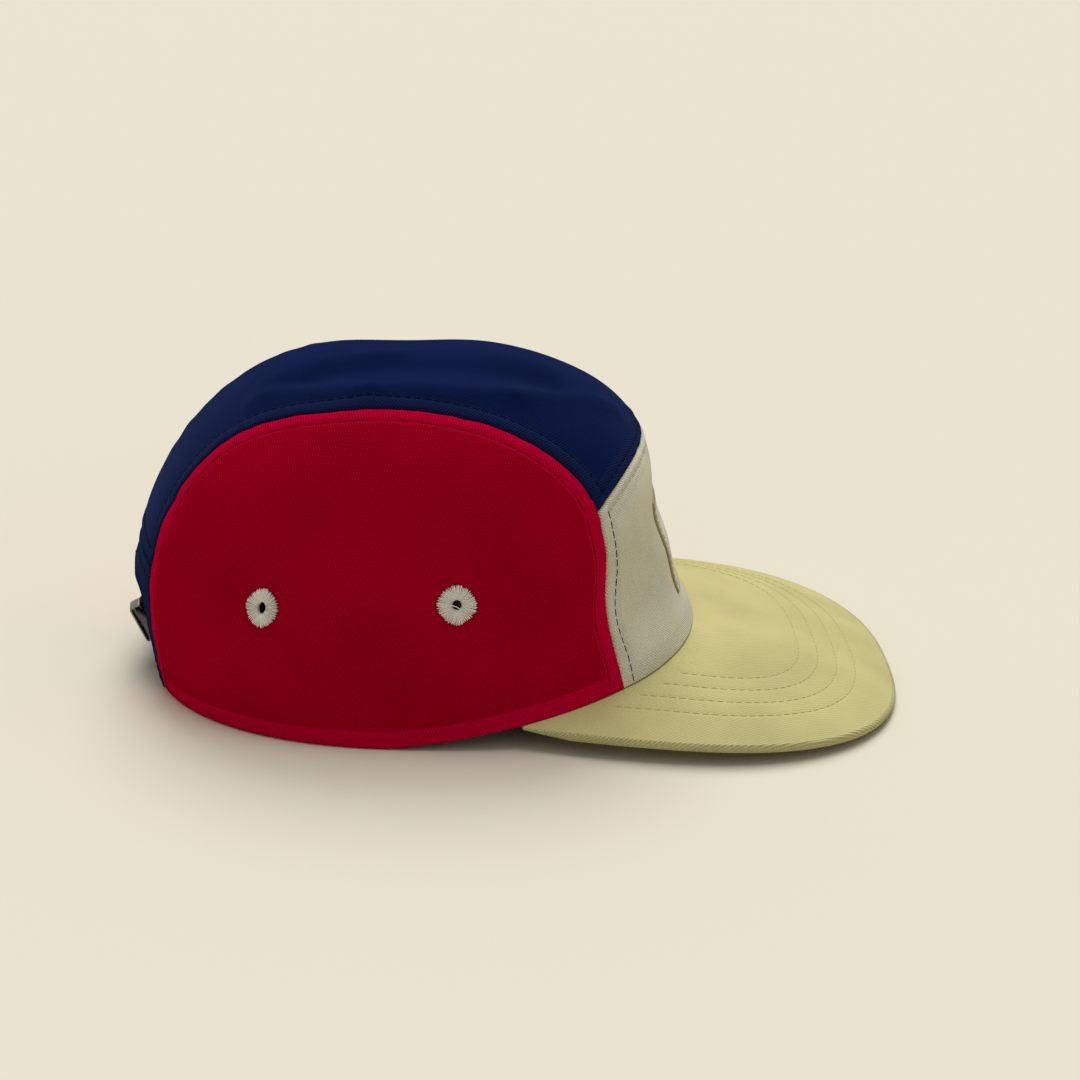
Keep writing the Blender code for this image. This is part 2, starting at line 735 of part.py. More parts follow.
def strap_clasp(look):
    """A flat metal slide round the middle of the strap, which passes through its bore."""
    along = np.array([-0.5, 0.0, 0.5]) * CLASP_LENGTH
    line, out = strap_middle(along, STRAP_MIDDLE_HEIGHT)
    edges, _ = strap_middle(np.zeros(2), STRAP_MIDDLE_HEIGHT + np.array([-0.5, 0.5]) * STRAP_WIDTH)
    sag = np.linalg.norm(line[1] - (line[0] + line[2]) / 2.0)
    half_bore = STRAP_THICKNESS / 2.0 + sag / 2.0 + 2.0 * GAP
    half_slot = STRAP_WIDTH / 2.0 + 2.0 * GAP
    outside = rounded_rectangle(half_slot + CLASP_WALL, half_bore + CLASP_WALL, CLASP_ROUNDING)
    inside = rounded_rectangle(half_slot, half_bore, GAP / 2.0)
    rings = []
    for (wide, high), end in ((outside, 0), (outside, 2), (inside, 2), (inside, 0)):
        rings.append(place(along[end], -wide, high))
    made = add_object("strap_clasp", ring_mesh("strap_clasp", np.stack(rings)), look)
    up = Vector(edges[1] - edges[0]).normalized()
    level = Vector((1.0, 0.0, 0.0))
    made.location = line[1] - out[1] * (sag / 2.0)
    made.rotation_euler = Matrix((level, up, level.cross(up))).transposed().to_euler()


def centre_lengthwise():
    """Moves everything so that the origin lies below the middle of the cap's length."""
    reached = []
    for thing in bpy.data.objects:
        if not thing.hide_render:
            reached += [(thing.matrix_basis @ vertex.co).y for vertex in thing.data.vertices]
    middle = (min(reached) + max(reached)) / 2.0
    for thing in bpy.data.objects:
        thing.location.y -= middle


def build():
    """The whole cap."""
    for old in list(bpy.data.objects):
        bpy.data.objects.remove(old, do_unlink=True)
    red = material("red_twill", RED, 0.90)
    navy = material("navy_twill", NAVY, 0.90)
    thread = material("embroidery_thread", THREAD, 0.80)
    panels = {
        -1: side_panel("side_panel_right", -1, red),
        1: side_panel("side_panel_left", 1, red),
    }
    front_panel(material("cream_twill", CREAM, 0.90))
    top_panel(navy)
    back_panel(navy)
    peak(material("yellow_cotton", YELLOW, 0.90))
    eyelets(panels, thread)
    front_label(material("woven_label", CREAM, 0.80))
    back_strap(material("black_webbing", BLACK, 0.80))
    strap_clasp(material("antique_nickel", METAL, 0.40, 1.0))
    centre_lengthwise()


build()
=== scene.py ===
"""A five-panel cap in red, navy, cream and yellow cotton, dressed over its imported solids.

It lies on its hem and the tip of its peak, as the solids do. Metres, +Z up. The peak points to -Y and the
wearer's right is -X, the side that the camera sees. Forward below means towards -Y.
"""

import math

import bpy
import numpy as np
from mathutils import Matrix, Vector


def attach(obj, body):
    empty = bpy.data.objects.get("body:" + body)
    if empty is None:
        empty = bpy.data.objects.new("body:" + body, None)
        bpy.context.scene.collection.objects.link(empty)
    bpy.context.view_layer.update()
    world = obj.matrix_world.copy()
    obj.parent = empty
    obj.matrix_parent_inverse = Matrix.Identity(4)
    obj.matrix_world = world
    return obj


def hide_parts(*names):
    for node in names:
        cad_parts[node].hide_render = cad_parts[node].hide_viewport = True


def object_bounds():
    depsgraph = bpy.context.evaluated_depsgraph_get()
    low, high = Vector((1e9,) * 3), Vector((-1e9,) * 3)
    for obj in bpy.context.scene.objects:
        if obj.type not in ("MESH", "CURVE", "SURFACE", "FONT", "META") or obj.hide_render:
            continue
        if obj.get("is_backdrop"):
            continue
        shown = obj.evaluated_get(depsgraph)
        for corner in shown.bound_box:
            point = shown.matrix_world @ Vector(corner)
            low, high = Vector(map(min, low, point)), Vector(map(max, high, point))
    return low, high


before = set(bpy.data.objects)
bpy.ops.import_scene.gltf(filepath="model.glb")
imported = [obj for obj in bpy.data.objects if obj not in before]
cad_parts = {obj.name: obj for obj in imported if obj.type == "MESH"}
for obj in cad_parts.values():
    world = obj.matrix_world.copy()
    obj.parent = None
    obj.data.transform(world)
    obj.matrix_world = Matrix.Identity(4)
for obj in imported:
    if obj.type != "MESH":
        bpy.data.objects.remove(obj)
packed_low, packed_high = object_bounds()


# Crown
# The crown has no frame: its sewn cloth keeps this form by itself, a squarish dome with soft folds that
# leans forward a little over the peak. Every panel, stitch, eyelet and label is laid on it.

CROWN_FRONT = 0.096
CROWN_BACK = 0.094
CROWN_HEIGHT = 0.1125
CROWN_HALF_WIDTH = 0.079
CROWN_SQUARENESS = 2.4

# The crown is laid out round a place below its own middle. The tip of the peak lies this far forward of it,
# which says where that place is from the origin, below the middle of the whole cap.
TIP_FORWARD = 0.167
CROWN_PLACE = np.array([0.0, packed_low[1] + TIP_FORWARD, 0.0])

# The middle line from the front, over the top, to the back of the hem.
# Columns: forward as a share of CROWN_FRONT, or of CROWN_BACK where it is negative; up as a share of
# CROWN_HEIGHT.
MIDDLE_LINE = (
    (1.055, 0.000), (1.001, 0.222), (0.928, 0.333), (0.888, 0.455), (0.837, 0.578),
    (0.814, 0.719), (0.747, 0.816), (0.572, 0.918), (0.289, 0.989), (0.000, 0.996),
    (-0.295, 0.986), (-0.578, 0.909), (-0.777, 0.773), (-0.919, 0.600), (-0.989, 0.439),
    (-1.000, 0.288), (-0.974, 0.144), (-0.931, 0.000),
)

# Soft folds. Those on the right only can be seen in the photograph and have no known pair.
# Columns: the side, 0 for both, -1 for the wearer's right and 1 for the left; start out, forward and up and
# end out, forward and up, as shares of CROWN_HALF_WIDTH, CROWN_FRONT and CROWN_HEIGHT; half width and rise,
# as shares of CROWN_HEIGHT.
FOLDS = (
    (0, 0.00, 0.45, 0.98, 0.00, -0.62, 0.92, 0.050, 0.006),
    (-1, 0.02, -0.10, 0.99, 0.12, -0.56, 0.93, 0.045, 0.010),
    (-1, 0.17, 0.44, 0.96, 0.17, -0.40, 0.95, 0.070, -0.024),
    (-1, 0.36, 0.30, 0.95, 0.36, -0.20, 0.95, 0.045, 0.014),
    (-1, 0.36, -0.20, 0.95, 0.22, -0.58, 0.90, 0.045, 0.012),
    (-1, 0.36, 0.30, 0.95, 0.14, 0.66, 0.88, 0.050, 0.012),
    (1, 0.21, 0.30, 0.97, 0.21, -0.40, 0.96, 0.060, -0.006),
    (0, 0.52, 0.86, 0.44, 0.60, 0.78, 0.36, 0.090, -0.018),
    (0, 0.40, 0.93, 0.30, 0.66, 0.76, 0.22, 0.080, 0.012),
    (0, 0.80, 0.58, 0.30, 0.74, 0.60, 0.46, 0.050, -0.010),
    (0, 0.62, -0.78, 0.30, 0.58, -0.74, 0.52, 0.050, -0.011),
    (0, 0.86, -0.20, 0.62, 0.90, 0.24, 0.58, 0.120, -0.010),
    (0, 0.00, -0.97, 0.29, 0.10, -0.97, 0.29, 0.055, 0.015),
)

# The hem rises towards the peak from a little behind the middle.
HEM_RISE = 0.024
HEM_RISE_START = -0.012
HEM_RISE_POWER = 1.25


def spline(at, knots, values):
    """The natural cubic spline through the values: its second slopes solve one small linear system."""
    knots = np.asarray(knots, float)
    values = np.asarray(values, float)
    step = np.diff(knots)
    slope = np.diff(values) / step
    bend = np.zeros((len(knots), len(knots)))
    pull = np.zeros(len(knots))
    bend[0, 0] = bend[-1, -1] = 1.0
    for i in range(1, len(knots) - 1):
        bend[i, i - 1 : i + 2] = step[i - 1], 2.0 * (step[i - 1] + step[i]), step[i]
        pull[i] = 6.0 * (slope[i] - slope[i - 1])
    second = np.linalg.solve(bend, pull)
    at = np.asarray(at, float)
    i = np.clip(np.searchsorted(knots, at) - 1, 0, len(step) - 1)
    before = at - knots[i]
    after = knots[i + 1] - at
    return (
        (second[i] * after**3 + second[i + 1] * before**3) / (6.0 * step[i])
        + (values[i] / step[i] - second[i] * step[i] / 6.0) * after
        + (values[i + 1] / step[i] - second[i + 1] * step[i] / 6.0) * before
    )


MIDDLE_FORWARD, MIDDLE_UP = np.array(MIDDLE_LINE).T
MIDDLE_FORWARD = MIDDLE_FORWARD * np.where(MIDDLE_FORWARD > 0.0, CROWN_FRONT, CROWN_BACK)
MIDDLE_UP = MIDDLE_UP * CROWN_HEIGHT
MIDDLE_ANGLES = np.arctan2(MIDDLE_UP, MIDDLE_FORWARD)
MIDDLE_REACHES = np.hypot(MIDDLE_UP, MIDDLE_FORWARD)


def place(across, forward, up):
    """Points from how far across, forward and up they are."""
    across, forward, up = np.broadcast_arrays(across, forward, up)
    return np.stack([across, -forward, up], axis=-1)


def unit(vectors):
    """Vectors made one long."""
    return vectors / np.linalg.norm(vectors, axis=-1, keepdims=True)


def side_angle(points):
    """Each point's angle up from straight forward, seen from the side."""
    angle = np.arctan2(points[..., 2], -points[..., 1])
    return np.where(angle < -math.pi / 2.0, angle + 2.0 * math.pi, angle)


def bell(value, middle, width):
    """The bell curve exp(-((value - middle) / width)^2)."""
    return np.exp(-(((value - middle) / width) ** 2))


def fold_height(points):
    """The folds' lift: for each fold, its rise times a bell curve of the distance to its line."""
    lift = np.zeros(points.shape[:-1])
    size = np.array([CROWN_HALF_WIDTH, CROWN_FRONT, CROWN_HEIGHT])
    for side, *ends, half_width, rise in FOLDS:
        out = side * points[..., 0] if side else np.abs(points[..., 0])
        at = np.stack([out, -points[..., 1], points[..., 2]], axis=-1)
        start = ends[:3] * size
        run = ends[3:] * size - start
        along = np.clip(((at - start) @ run) / (run @ run), 0.0, 1.0)
        away = np.linalg.norm(at - start - along[..., None] * run, axis=-1)
        lift += rise * CROWN_HEIGHT * bell(away, 0.0, half_width * CROWN_HEIGHT)
    return lift


def even_crown_share(points):
    """Distance from the origin as a share of the way to the even crown. Its cross-section is a superellipse:
    |side / half width| and |middle / middle line|, both to the power CROWN_SQUARENESS, add up to 1.
    """
    side = np.abs(points[..., 0]) / CROWN_HALF_WIDTH
    middle = np.hypot(points[..., 1], points[..., 2])
    middle = middle / spline(side_angle(points), MIDDLE_ANGLES, MIDDLE_REACHES)
    return (side**CROWN_SQUARENESS + middle**CROWN_SQUARENESS) ** (1.0 / CROWN_SQUARENESS)


def crown_share(points):
    """The same for the folded crown, which the folds lift off the even one."""
    share = even_crown_share(points)
    reach = np.linalg.norm(points, axis=-1) / share
    return share / (1.0 + fold_height(points / share[..., None]) / reach)


def push_out(points):
    """Points moved straight away from the origin onto the crown."""
    return points / crown_share(points)[..., None]


def crown_normal(points):
    """Directions out of the crown: the slope of crown_share by differences, made one long."""
    step = 0.00015
    slope = np.zeros(points.shape)
    for axis in range(3):
        offset = np.zeros(3)
        offset[axis] = step
        slope[..., axis] = crown_share(points + offset) - crown_share(points - offset)
    return unit(slope)


def crown_at(angle, across):
    """Points of the even crown at an angle up from straight forward and a distance to the side."""
    left = 1.0 - (np.abs(across) / CROWN_HALF_WIDTH) ** CROWN_SQUARENESS
    reach = spline(angle, MIDDLE_ANGLES, MIDDLE_REACHES) * left ** (1.0 / CROWN_SQUARENESS)
    return place(across, reach * np.cos(angle), reach * np.sin(angle))


def side_wall(forward, up, side):
    """Points of the even crown's side, from how far forward and how high they are."""
    point = place(0.0, forward, up)
    left = 1.0 - even_crown_share(point) ** CROWN_SQUARENESS
    point[..., 0] = side * CROWN_HALF_WIDTH * left ** (1.0 / CROWN_SQUARENESS)
    return point


def first_outside(point_at, shape):
    """Where a line out of the crown leaves it, by halving the stretch that holds the place 40 times."""
    near = np.zeros(shape)
    far = near + 1.5 * (CROWN_FRONT + CROWN_BACK)
    for _ in range(40):
        middle = (near + far) / 2.0
        outside = crown_share(point_at(middle)) > 1.0
        far = np.where(outside, middle, far)
        near = np.where(outside, near, middle)
    return point_at(near)


def end_wall(across, up, way):
    """Points of the crown's front (way 1) or back (way -1), from their place across and their height."""
    return first_outside(lambda reach: place(across, way * reach, up), np.broadcast(across, up).shape)


def hem_height(forward):
    """The hem lies flat at the back and sides and rises in a power curve to the peak's middle."""
    way = np.clip((forward - HEM_RISE_START) / (CROWN_FRONT - HEM_RISE_START), 0.0, None)
    return HEM_RISE * way**HEM_RISE_POWER


def distances_along(line):
    """How far along a line each of its points is."""
    return np.concatenate([[0.0], np.cumsum(np.linalg.norm(np.diff(line, axis=0), axis=1))])


def read_line(line, known, at):
    """A line's points at new places along it, from the places known for its own points."""
    return np.stack([np.interp(at, known, column) for column in line.T], axis=-1)


def even(line, count):
    """A line's points, read again at even distances along it."""
    known = distances_along(line)
    return read_line(line, known, np.linspace(0.0, known[-1], count))


def hem_between(start, end, count):
    """Even points of the hem between two of its points, found along lines out from the middle in plan."""
    angles = [math.atan2(p[0], -p[1]) for p in (start, end)]
    turn = np.linspace(*angles, 4 * count)

    def out_to(reach):
        forward = reach * np.cos(turn)
        return place(reach * np.sin(turn), forward, hem_height(forward))

    return even(first_outside(out_to, turn.shape), count)


def ripple(points, size, seed):
    """Uneven rise and fall, mostly between -1 and 1: twelve waves about one size long, in all directions."""
    random = np.random.default_rng(seed)
    way = unit(random.normal(size=(12, points.shape[-1])))
    way *= 2.0 * math.pi / (size * random.uniform(0.7, 1.5, (12, 1)))
    phase = random.uniform(0.0, 2.0 * math.pi, 12)
    return np.cos(points @ way.T + phase).sum(axis=-1) / 4.0


# Side panels
# Two pieces of deep red cotton twill make the crown's sides. Each is cut flat, sewn to the navy strip and the
# cream front with its edges turned in and topstitched, and turned up at the hem.

CLOTH = 0.0015

# The seam between the navy strip and the red sides: degrees up from straight forward, and half the strip's
# width as a share of CROWN_HALF_WIDTH.
STRIP_SEAM = (
    (53.1, 0.680), (62.0, 0.618), (70.0, 0.572), (80.0, 0.514), (92.0, 0.470),
    (105.0, 0.450), (116.0, 0.405), (126.0, 0.345), (137.0, 0.322), (150.0, 0.352),
    (163.0, 0.366), (180.0, 0.354),
)
FRONT_CORNER_ANGLE = 53.1
ARCH_HEIGHT = 0.034
ARCH_BAND = 0.0115

# Shares of that seam's way from the front corner to the hem: the side panel's shoulder and the cross seam.
SHOULDER = 0.66
CROSS_SEAM = 0.79

# The seam between the front and the red sides: where its foot is, and how far it waves forward at shares of
# its way down, both as shares of CROWN_FRONT.
FRONT_EDGE_FOOT = 0.704
FRONT_EDGE_WAVE = (
    (0.00, 0.000), (0.30, 0.006), (0.55, -0.014), (0.80, -0.008), (1.00, 0.000),
)

# How the cloth lies: its roll into a seam, the puff beside it, the edge turned in behind it, the dip along
# the stitches, puckers, slack, and how it lies at the hem and round an eyelet.
SEAM_ROLL = 0.0009
SEAM_ROLL_WIDTH = 0.0014
SEAM_PUFF = 0.00030
ALLOWANCE = 0.0065
ALLOWANCE_THICKNESS = 0.00022
ALLOWANCE_SOFTNESS = 0.0002
STITCH_ROW = 0.0050
STITCH_PULL = 0.00030
STITCH_PULL_WIDTH = 0.0009
PUCKER = 0.00020
PUCKER_LENGTH = 0.0085
SLACK = 0.00028
SLACK_LENGTH = 0.050
SLACK_SEED = 5
FREE_EDGE_CALM = 0.005
HEM_TURNED = 0.011
HEM_POINTS = 500
HEM_HIGHEST = 0.03
HEM_LEVELLED = 0.004
EYELET_OPEN = 0.0024
EYELET_RADIUS = 0.0065
EYELET_PULL = 0.0004
EYELET_PULL_WIDTH = 0.0013

# Where the eyelets are: forward as a share of CROWN_FRONT, or of CROWN_BACK where it is negative, and up as a
# share of CROWN_HEIGHT.
EYELET_PLACES = (
    ("front", 0.101, 0.442),
    ("rear", -0.573, 0.397),
)

# The twill's ribs, the floats that break them, and the unevenness of both, whose scales are lumps a metre.
WALE_PITCH = 0.00092
WALE_DRIFT = 1.1
WALE_DRIFT_SCALE = 60.0
FLOAT_PITCH = 1.3 * WALE_PITCH
FLOAT_SHIFT = 0.38
FLOAT_DEPTH = 0.20
BLOTCH_SCALE = 28.0
GRAIN_SCALE = 900.0
# The red's colours. Its worn colour is also the painted highlight that its turned edges are mixed towards.
RED_WALE = "B80028"
RED_VALLEY = "90001A"
RED_WEAR_AND_HIGHLIGHT = "E0003E"


def linear(colour):
    """An sRGB hex colour as linear red, green, blue and alpha."""
    value = np.array([int(colour[i : i + 2], 16) for i in (0, 2, 4)]) / 255.0
    value = np.where(value <= 0.04045, value / 12.92, ((value + 0.055) / 1.055) ** 2.4)
    return (*value.tolist(), 1.0)


def add_node(tree, kind, inputs=(), **settings):
    """A new node with these settings, whose inputs are linked to sockets or set to values."""
    made = tree.nodes.new(kind)
    for name, value in settings.items():
        setattr(made, name, value)
    for key, value in dict(inputs).items():
        if isinstance(value, bpy.types.NodeSocket):
            tree.links.new(value, made.inputs[key])
        else:
            made.inputs[key].default_value = value
    return made


def reckon(tree, operation, *values):
    """The result of one sum of numbers."""
    return add_node(tree, "ShaderNodeMath", dict(enumerate(values)), operation=operation).outputs[0]


def spread(tree, value, low, high, to_low=0.0, to_high=1.0):
    """A value carried from one range to another and held inside it."""
    inputs = {"Value": value, "From Min": low, "From Max": high, "To Min": to_low, "To Max": to_high}
    return add_node(tree, "ShaderNodeMapRange", inputs).outputs["Result"]


def blend(tree, share, first, second, kind="MIX"):
    """Two colours mixed."""
    inputs = {"Factor": share, "A": first, "B": second}
    return add_node(tree, "ShaderNodeMix", inputs, data_type="RGBA", blend_type=kind).outputs["Result"]


def noise(tree, places, scale, detail=1.0):
    """Noise of a number of lumps to the metre."""
    inputs = {"Vector": places, "Scale": scale, "Detail": detail}
    return add_node(tree, "ShaderNodeTexNoise", inputs).outputs["Fac"]


def count_along(tree, places, angle, pitch):
    """How many pitches a place lies along a direction in the flat cloth."""
    way = (math.cos(math.radians(angle)) / pitch, math.sin(math.radians(angle)) / pitch, 0.0)
    made = add_node(tree, "ShaderNodeVectorMath", {0: places, 1: way}, operation="DOT_PRODUCT")
    return made.outputs["Value"]


def wave(tree, count):
    """The sine of a count of whole turns."""
    return reckon(tree, "SINE", reckon(tree, "MULTIPLY", count, 2.0 * math.pi))


def attribute(tree, name, output):
    """A value stored on the mesh."""
    return add_node(tree, "ShaderNodeAttribute", attribute_name=name).outputs[output]


def finish_material(tree, shader, colour, height, distance):
    """The colour and a bump of this height put on the shader."""
    tree.links.new(colour, shader.inputs["Base Color"])
    bump = add_node(tree, "ShaderNodeBump", {"Strength": 1.0, "Distance": distance, "Height": height})
    tree.links.new(bump.outputs["Normal"], shader.inputs["Normal"])


def start_material(name, roughness, sheen=0.0, sheen_tint="FFFFFF", metallic=0.0, specular=0.04):
    """A material with only its Principled shader, and the node tree that it is in."""
    made = bpy.data.materials.new(name)
    made.use_nodes = True
    tree = made.node_tree
    shader = tree.nodes["Principled BSDF"]
    settings = {"Roughness": roughness, "Metallic": metallic, "Specular IOR Level": specular}
    settings |= {"Sheen Weight": sheen, "Sheen Roughness": 0.45, "Sheen Tint": linear(sheen_tint)}
    for socket, value in settings.items():
        shader.inputs[socket].default_value = value
    return made, tree, shader


def twill(name, wale, valley, slant, wear_and_highlight, faint, rubbing_and_highlight=0.12, rib=0.00012, fleck=0.08, sheen=0.08):
    """Cotton twill, woven so that raised ribs, its wales, run slantwise about 1 mm apart.

    The wale's height is a sine across the slant, broken along it by the yarns' floats, which gives the
    cloth its fine diagonal lines. They stand out where the cloth is drawn tight over a turned edge and have
    the share "faint" elsewhere. The dye is a little uneven, with worn flecks. On turned edges the cloth is
    mixed a share of the way towards its pale worn colour. This is partly real wear, and on the red, whose
    share is large, it is mostly a painted highlight for the light that falls on the band beside its top seam.
    """
    made, tree, shader = start_material(name, 1.0, sheen, wear_and_highlight, specular=0.0)
    flat = attribute(tree, "flat", "Vector")
    edge = attribute(tree, "edge", "Fac")
    drift = noise(tree, flat, WALE_DRIFT_SCALE, 2.0)
    wales = count_along(tree, flat, slant + 90.0, WALE_PITCH)
    wales = reckon(tree, "MULTIPLY_ADD", drift, WALE_DRIFT, wales)
    floats = count_along(tree, flat, slant, FLOAT_PITCH)
    floats = reckon(tree, "MULTIPLY_ADD", reckon(tree, "FLOOR", wales), FLOAT_SHIFT, floats)
    height = reckon(tree, "MULTIPLY_ADD", wave(tree, floats), FLOAT_DEPTH, wave(tree, wales))
    tight = spread(tree, edge, ALLOWANCE + 0.0006, ALLOWANCE - 0.0006, faint, 1.0)
    height = reckon(tree, "MULTIPLY", height, tight)
    cloth = blend(tree, spread(tree, height, -1.3, 1.3), linear(valley), linear(wale))
    blotch = spread(tree, noise(tree, flat, BLOTCH_SCALE, 3.0), 0.3, 0.7, 0.90, 1.10)
    cloth = blend(tree, 1.0, cloth, blotch, "MULTIPLY")
    grain = noise(tree, flat, GRAIN_SCALE)
    cloth = blend(tree, spread(tree, grain, 0.60, 0.75, 0.0, fleck), cloth, linear(wear_and_highlight))
    # Paler turned edges: real wear, and on the red mostly a painted highlight for the light on its seam
    # bands.
    turned = spread(tree, edge, ALLOWANCE, ALLOWANCE - 0.0008, 0.0, rubbing_and_highlight)
    rubbed_and_highlight = reckon(tree, "MULTIPLY", turned, spread(tree, height, -3.5, 1.0))
    cloth = blend(tree, rubbed_and_highlight, cloth, linear(wear_and_highlight))
    finish_material(tree, shader, cloth, reckon(tree, "MULTIPLY_ADD", grain, 0.5, height), rib)
    return made


def strip_half_width(angle):
    """Half width of the navy strip at an angle up from straight forward: a spline through STRIP_SEAM."""
    degrees, share = np.array(STRIP_SEAM).T
    return spline(angle, np.radians(degrees), share * CROWN_HALF_WIDTH)


def strip_seam(side, rows):
    """The seam between the navy strip and a side panel, at shares of the way from the front corner to the
    hem. The cross seam lies CROSS_SEAM of the way, a band's height above the arched opening.
    """
    angle = np.interp(rows, [0.0, CROSS_SEAM, 1.0], [math.radians(FRONT_CORNER_ANGLE), CROSS_ANGLE, math.pi])
    return crown_at(angle, side * strip_half_width(angle))


def front_edge(side, down):
    """The wavy seam between the front and a side panel, at shares of the way down from the corner."""
    top = strip_seam(side, 0.0)
    foot_forward = FRONT_EDGE_FOOT * CROWN_FRONT
    foot = side_wall(foot_forward, hem_height(foot_forward), side)
    share, bow = np.array(FRONT_EDGE_WAVE).T
    forward = -top[1] + down * (top[1] - foot[1]) + CROWN_FRONT * spline(down, share, bow)
    return side_wall(forward, top[2] + down * (foot[2] - top[2]), side)


def steps(count, crowding):
    """Shares from 0 to 1, closer together towards both ends: t - crowding * sin(2 pi t) / (2 pi)."""
    t = np.linspace(0.0, 1.0, count)
    return t - crowding * np.sin(2.0 * math.pi * t) / (2.0 * math.pi)


def patch_on_hem(top, left, right, along, up, rise):
    """A panel that stands on the hem: its grid of points, a guess at them in the flat cloth, and its hem.

    The grid is a Coons patch, blended between four edges and read at shares along and up. The guess has the
    distance round the hem and "rise" times the height.
    """
    hem_line = hem_between(left[0], right[0], HEM_POINTS)
    bottom = read_line(hem_line, np.linspace(0.0, 1.0, HEM_POINTS), along)
    u = along[:, None, None]
    v = up[None, :, None]
    between = (1.0 - v) * bottom[:, None] + v * top[:, None] + (1.0 - u) * left[None] + u * right[None]
    corners = (1.0 - u) * ((1.0 - v) * bottom[0] + v * top[0]) + u * ((1.0 - v) * bottom[-1] + v * top[-1])
    grid = between - corners
    turn = np.arctan2(grid[..., 0], -grid[..., 1])
    hem_turn = np.arctan2(hem_line[:, 0], -hem_line[:, 1])
    way = np.sign(hem_turn[-1] - hem_turn[0])
    round_hem = np.interp(way * turn, way * hem_turn, distances_along(hem_line))
    return grid, np.stack([round_hem, rise * grid[..., 2]], axis=-1), hem_line


def nearest(line, points):
    """Each point's distance to a line and how far along it the nearest place is.

    The nearest of the line's close-set points is taken first, then the nearest place on its tangent.
    """
    flat = points.reshape(-1, 3)
    step = np.linalg.norm(line[1] - line[0])
    tangent = unit(np.gradient(line, axis=0))
    away = (flat**2).sum(1)[:, None] - 2.0 * flat @ line.T + (line**2).sum(1)
    pick = away.argmin(axis=1)
    slip = ((flat - line[pick]) * tangent[pick]).sum(axis=1).clip(-step, step)
    distance = np.linalg.norm(flat - line[pick] - slip[:, None] * tangent[pick], axis=1)
    shape = points.shape[:-1]
    return distance.reshape(shape), (pick * step + slip).reshape(shape)


def cloth_lift(points, seams, free):
    """How far the cloth's middle stands off the crown, how far its face is pressed in, and the distance
    to the nearest seam. Each seam is its line, its row of stitches' distance from it, and a seed.

    The cloth is a little slack everywhere and puckers along the seams. Its face rolls down into each seam,
    is puffed over the turned edge beside it and is drawn down by the topstitches. All of this dies away
    towards the free edges.
    """
    slack = SLACK * ripple(points, SLACK_LENGTH, SLACK_SEED)
    face = np.zeros(points.shape[:-1])
    nearest_seam = np.full(points.shape[:-1], 1.0)
    for line, row, seed in seams:
        distance, along = nearest(line, points)
        nearest_seam = np.minimum(nearest_seam, distance)
        crease = ripple(np.stack([along, 0.25 * distance], axis=-1), PUCKER_LENGTH, seed)
        slack += PUCKER * crease * bell(distance, 0.0, 0.8 * STITCH_ROW)
        face -= STITCH_PULL * bell(distance, row, STITCH_PULL_WIDTH)
        face += SEAM_PUFF * bell(distance, 0.55 * row, 0.4 * row)
    face -= SEAM_ROLL * (1.0 - nearest_seam / SEAM_ROLL_WIDTH).clip(0.0) ** 2
    for line, _ in free:
        calm = 1.0 - bell(nearest(line, points)[0], 0.0, FREE_EDGE_CALM)
        slack *= calm
        face *= calm
    return slack, face, nearest_seam


def cut_flat(grid, guess):
    """The panel's points as they lay in the flat cloth that it was cut from.

    A coarser grid starts from a guess. Neighbours are then moved, over and over, until they are as far
    apart flat as they are on the cap, and the rest is read between them.
    """
    picks = [np.unique(np.linspace(0, n - 1, 34).astype(int)) for n in grid.shape[:2]]
    coarse = grid[np.ix_(*picks)]
    flat = guess[np.ix_(*picks)].copy()
    pairs = (
        (np.s_[:-1, :], np.s_[1:, :]),
        (np.s_[:, :-1], np.s_[:, 1:]),
        (np.s_[:-1, :-1], np.s_[1:, 1:]),
        (np.s_[:-1, 1:], np.s_[1:, :-1]),
    )
    lengths = [np.linalg.norm(coarse[b] - coarse[a], axis=-1, keepdims=True) for a, b in pairs]
    for _ in range(600):
        move = np.zeros(flat.shape)
        for (a, b), length in zip(pairs, lengths):
            way = flat[b] - flat[a]
            now = np.linalg.norm(way, axis=-1, keepdims=True) + 1e-9
            pull = 0.5 * way * (1.0 - length / now)
            move[a] += pull
            move[b] -= pull
        flat += move / 5.0
    hats = [
        np.stack([np.interp(np.arange(n), pick, row) for row in np.eye(len(pick))], axis=1)
        for n, pick in zip(grid.shape[:2], picks)
    ]
    return np.einsum("ia,abk,jb->ijk", hats[0], flat, hats[1])


def make_piece(name, points, faces, look, flat, edge=None, replaced=()):
    """A smooth-shaded piece that rides with the cap. Its faces are a list of arrays of corner numbers.

    "flat" is each point's place in the flat cloth or along and round a thread, and "edge" its distance from
    the piece's edge.
    """
    volume = 0.0
    for corners in faces:
        first = points[corners[:, 0]]
        for k in range(1, corners.shape[1] - 1):
            volume += (first * np.cross(points[corners[:, k]], points[corners[:, k + 1]])).sum()
    rows = []
    for corners in faces:
        rows += (corners if volume > 0.0 else corners[:, ::-1]).tolist()
    mesh = bpy.data.meshes.new(name)
    mesh.from_pydata((points + CROWN_PLACE).tolist(), [], rows)
    mesh.update()
    mesh.shade_smooth()
    mesh.materials.append(look)
    layer = mesh.attributes.new("flat", "FLOAT_VECTOR", "POINT")
    layer.data.foreach_set("vector", np.pad(flat, ((0, 0), (0, 1))).astype(np.float32).ravel())
    if edge is not None:
        layer = mesh.attributes.new("edge", "FLOAT", "POINT")
        layer.data.foreach_set("value", edge.astype(np.float32).ravel())
    made = bpy.data.objects.new(name, mesh)
    bpy.context.scene.collection.objects.link(made)
    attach(made, "root")
    if replaced:
        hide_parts(*replaced)


def round_loop(block):
    """The outermost numbers of a grid of them, in order round it."""
    return np.concatenate([block[:-1, 0], block[-1, :-1], block[:0:-1, -1], block[0, :0:-1]])


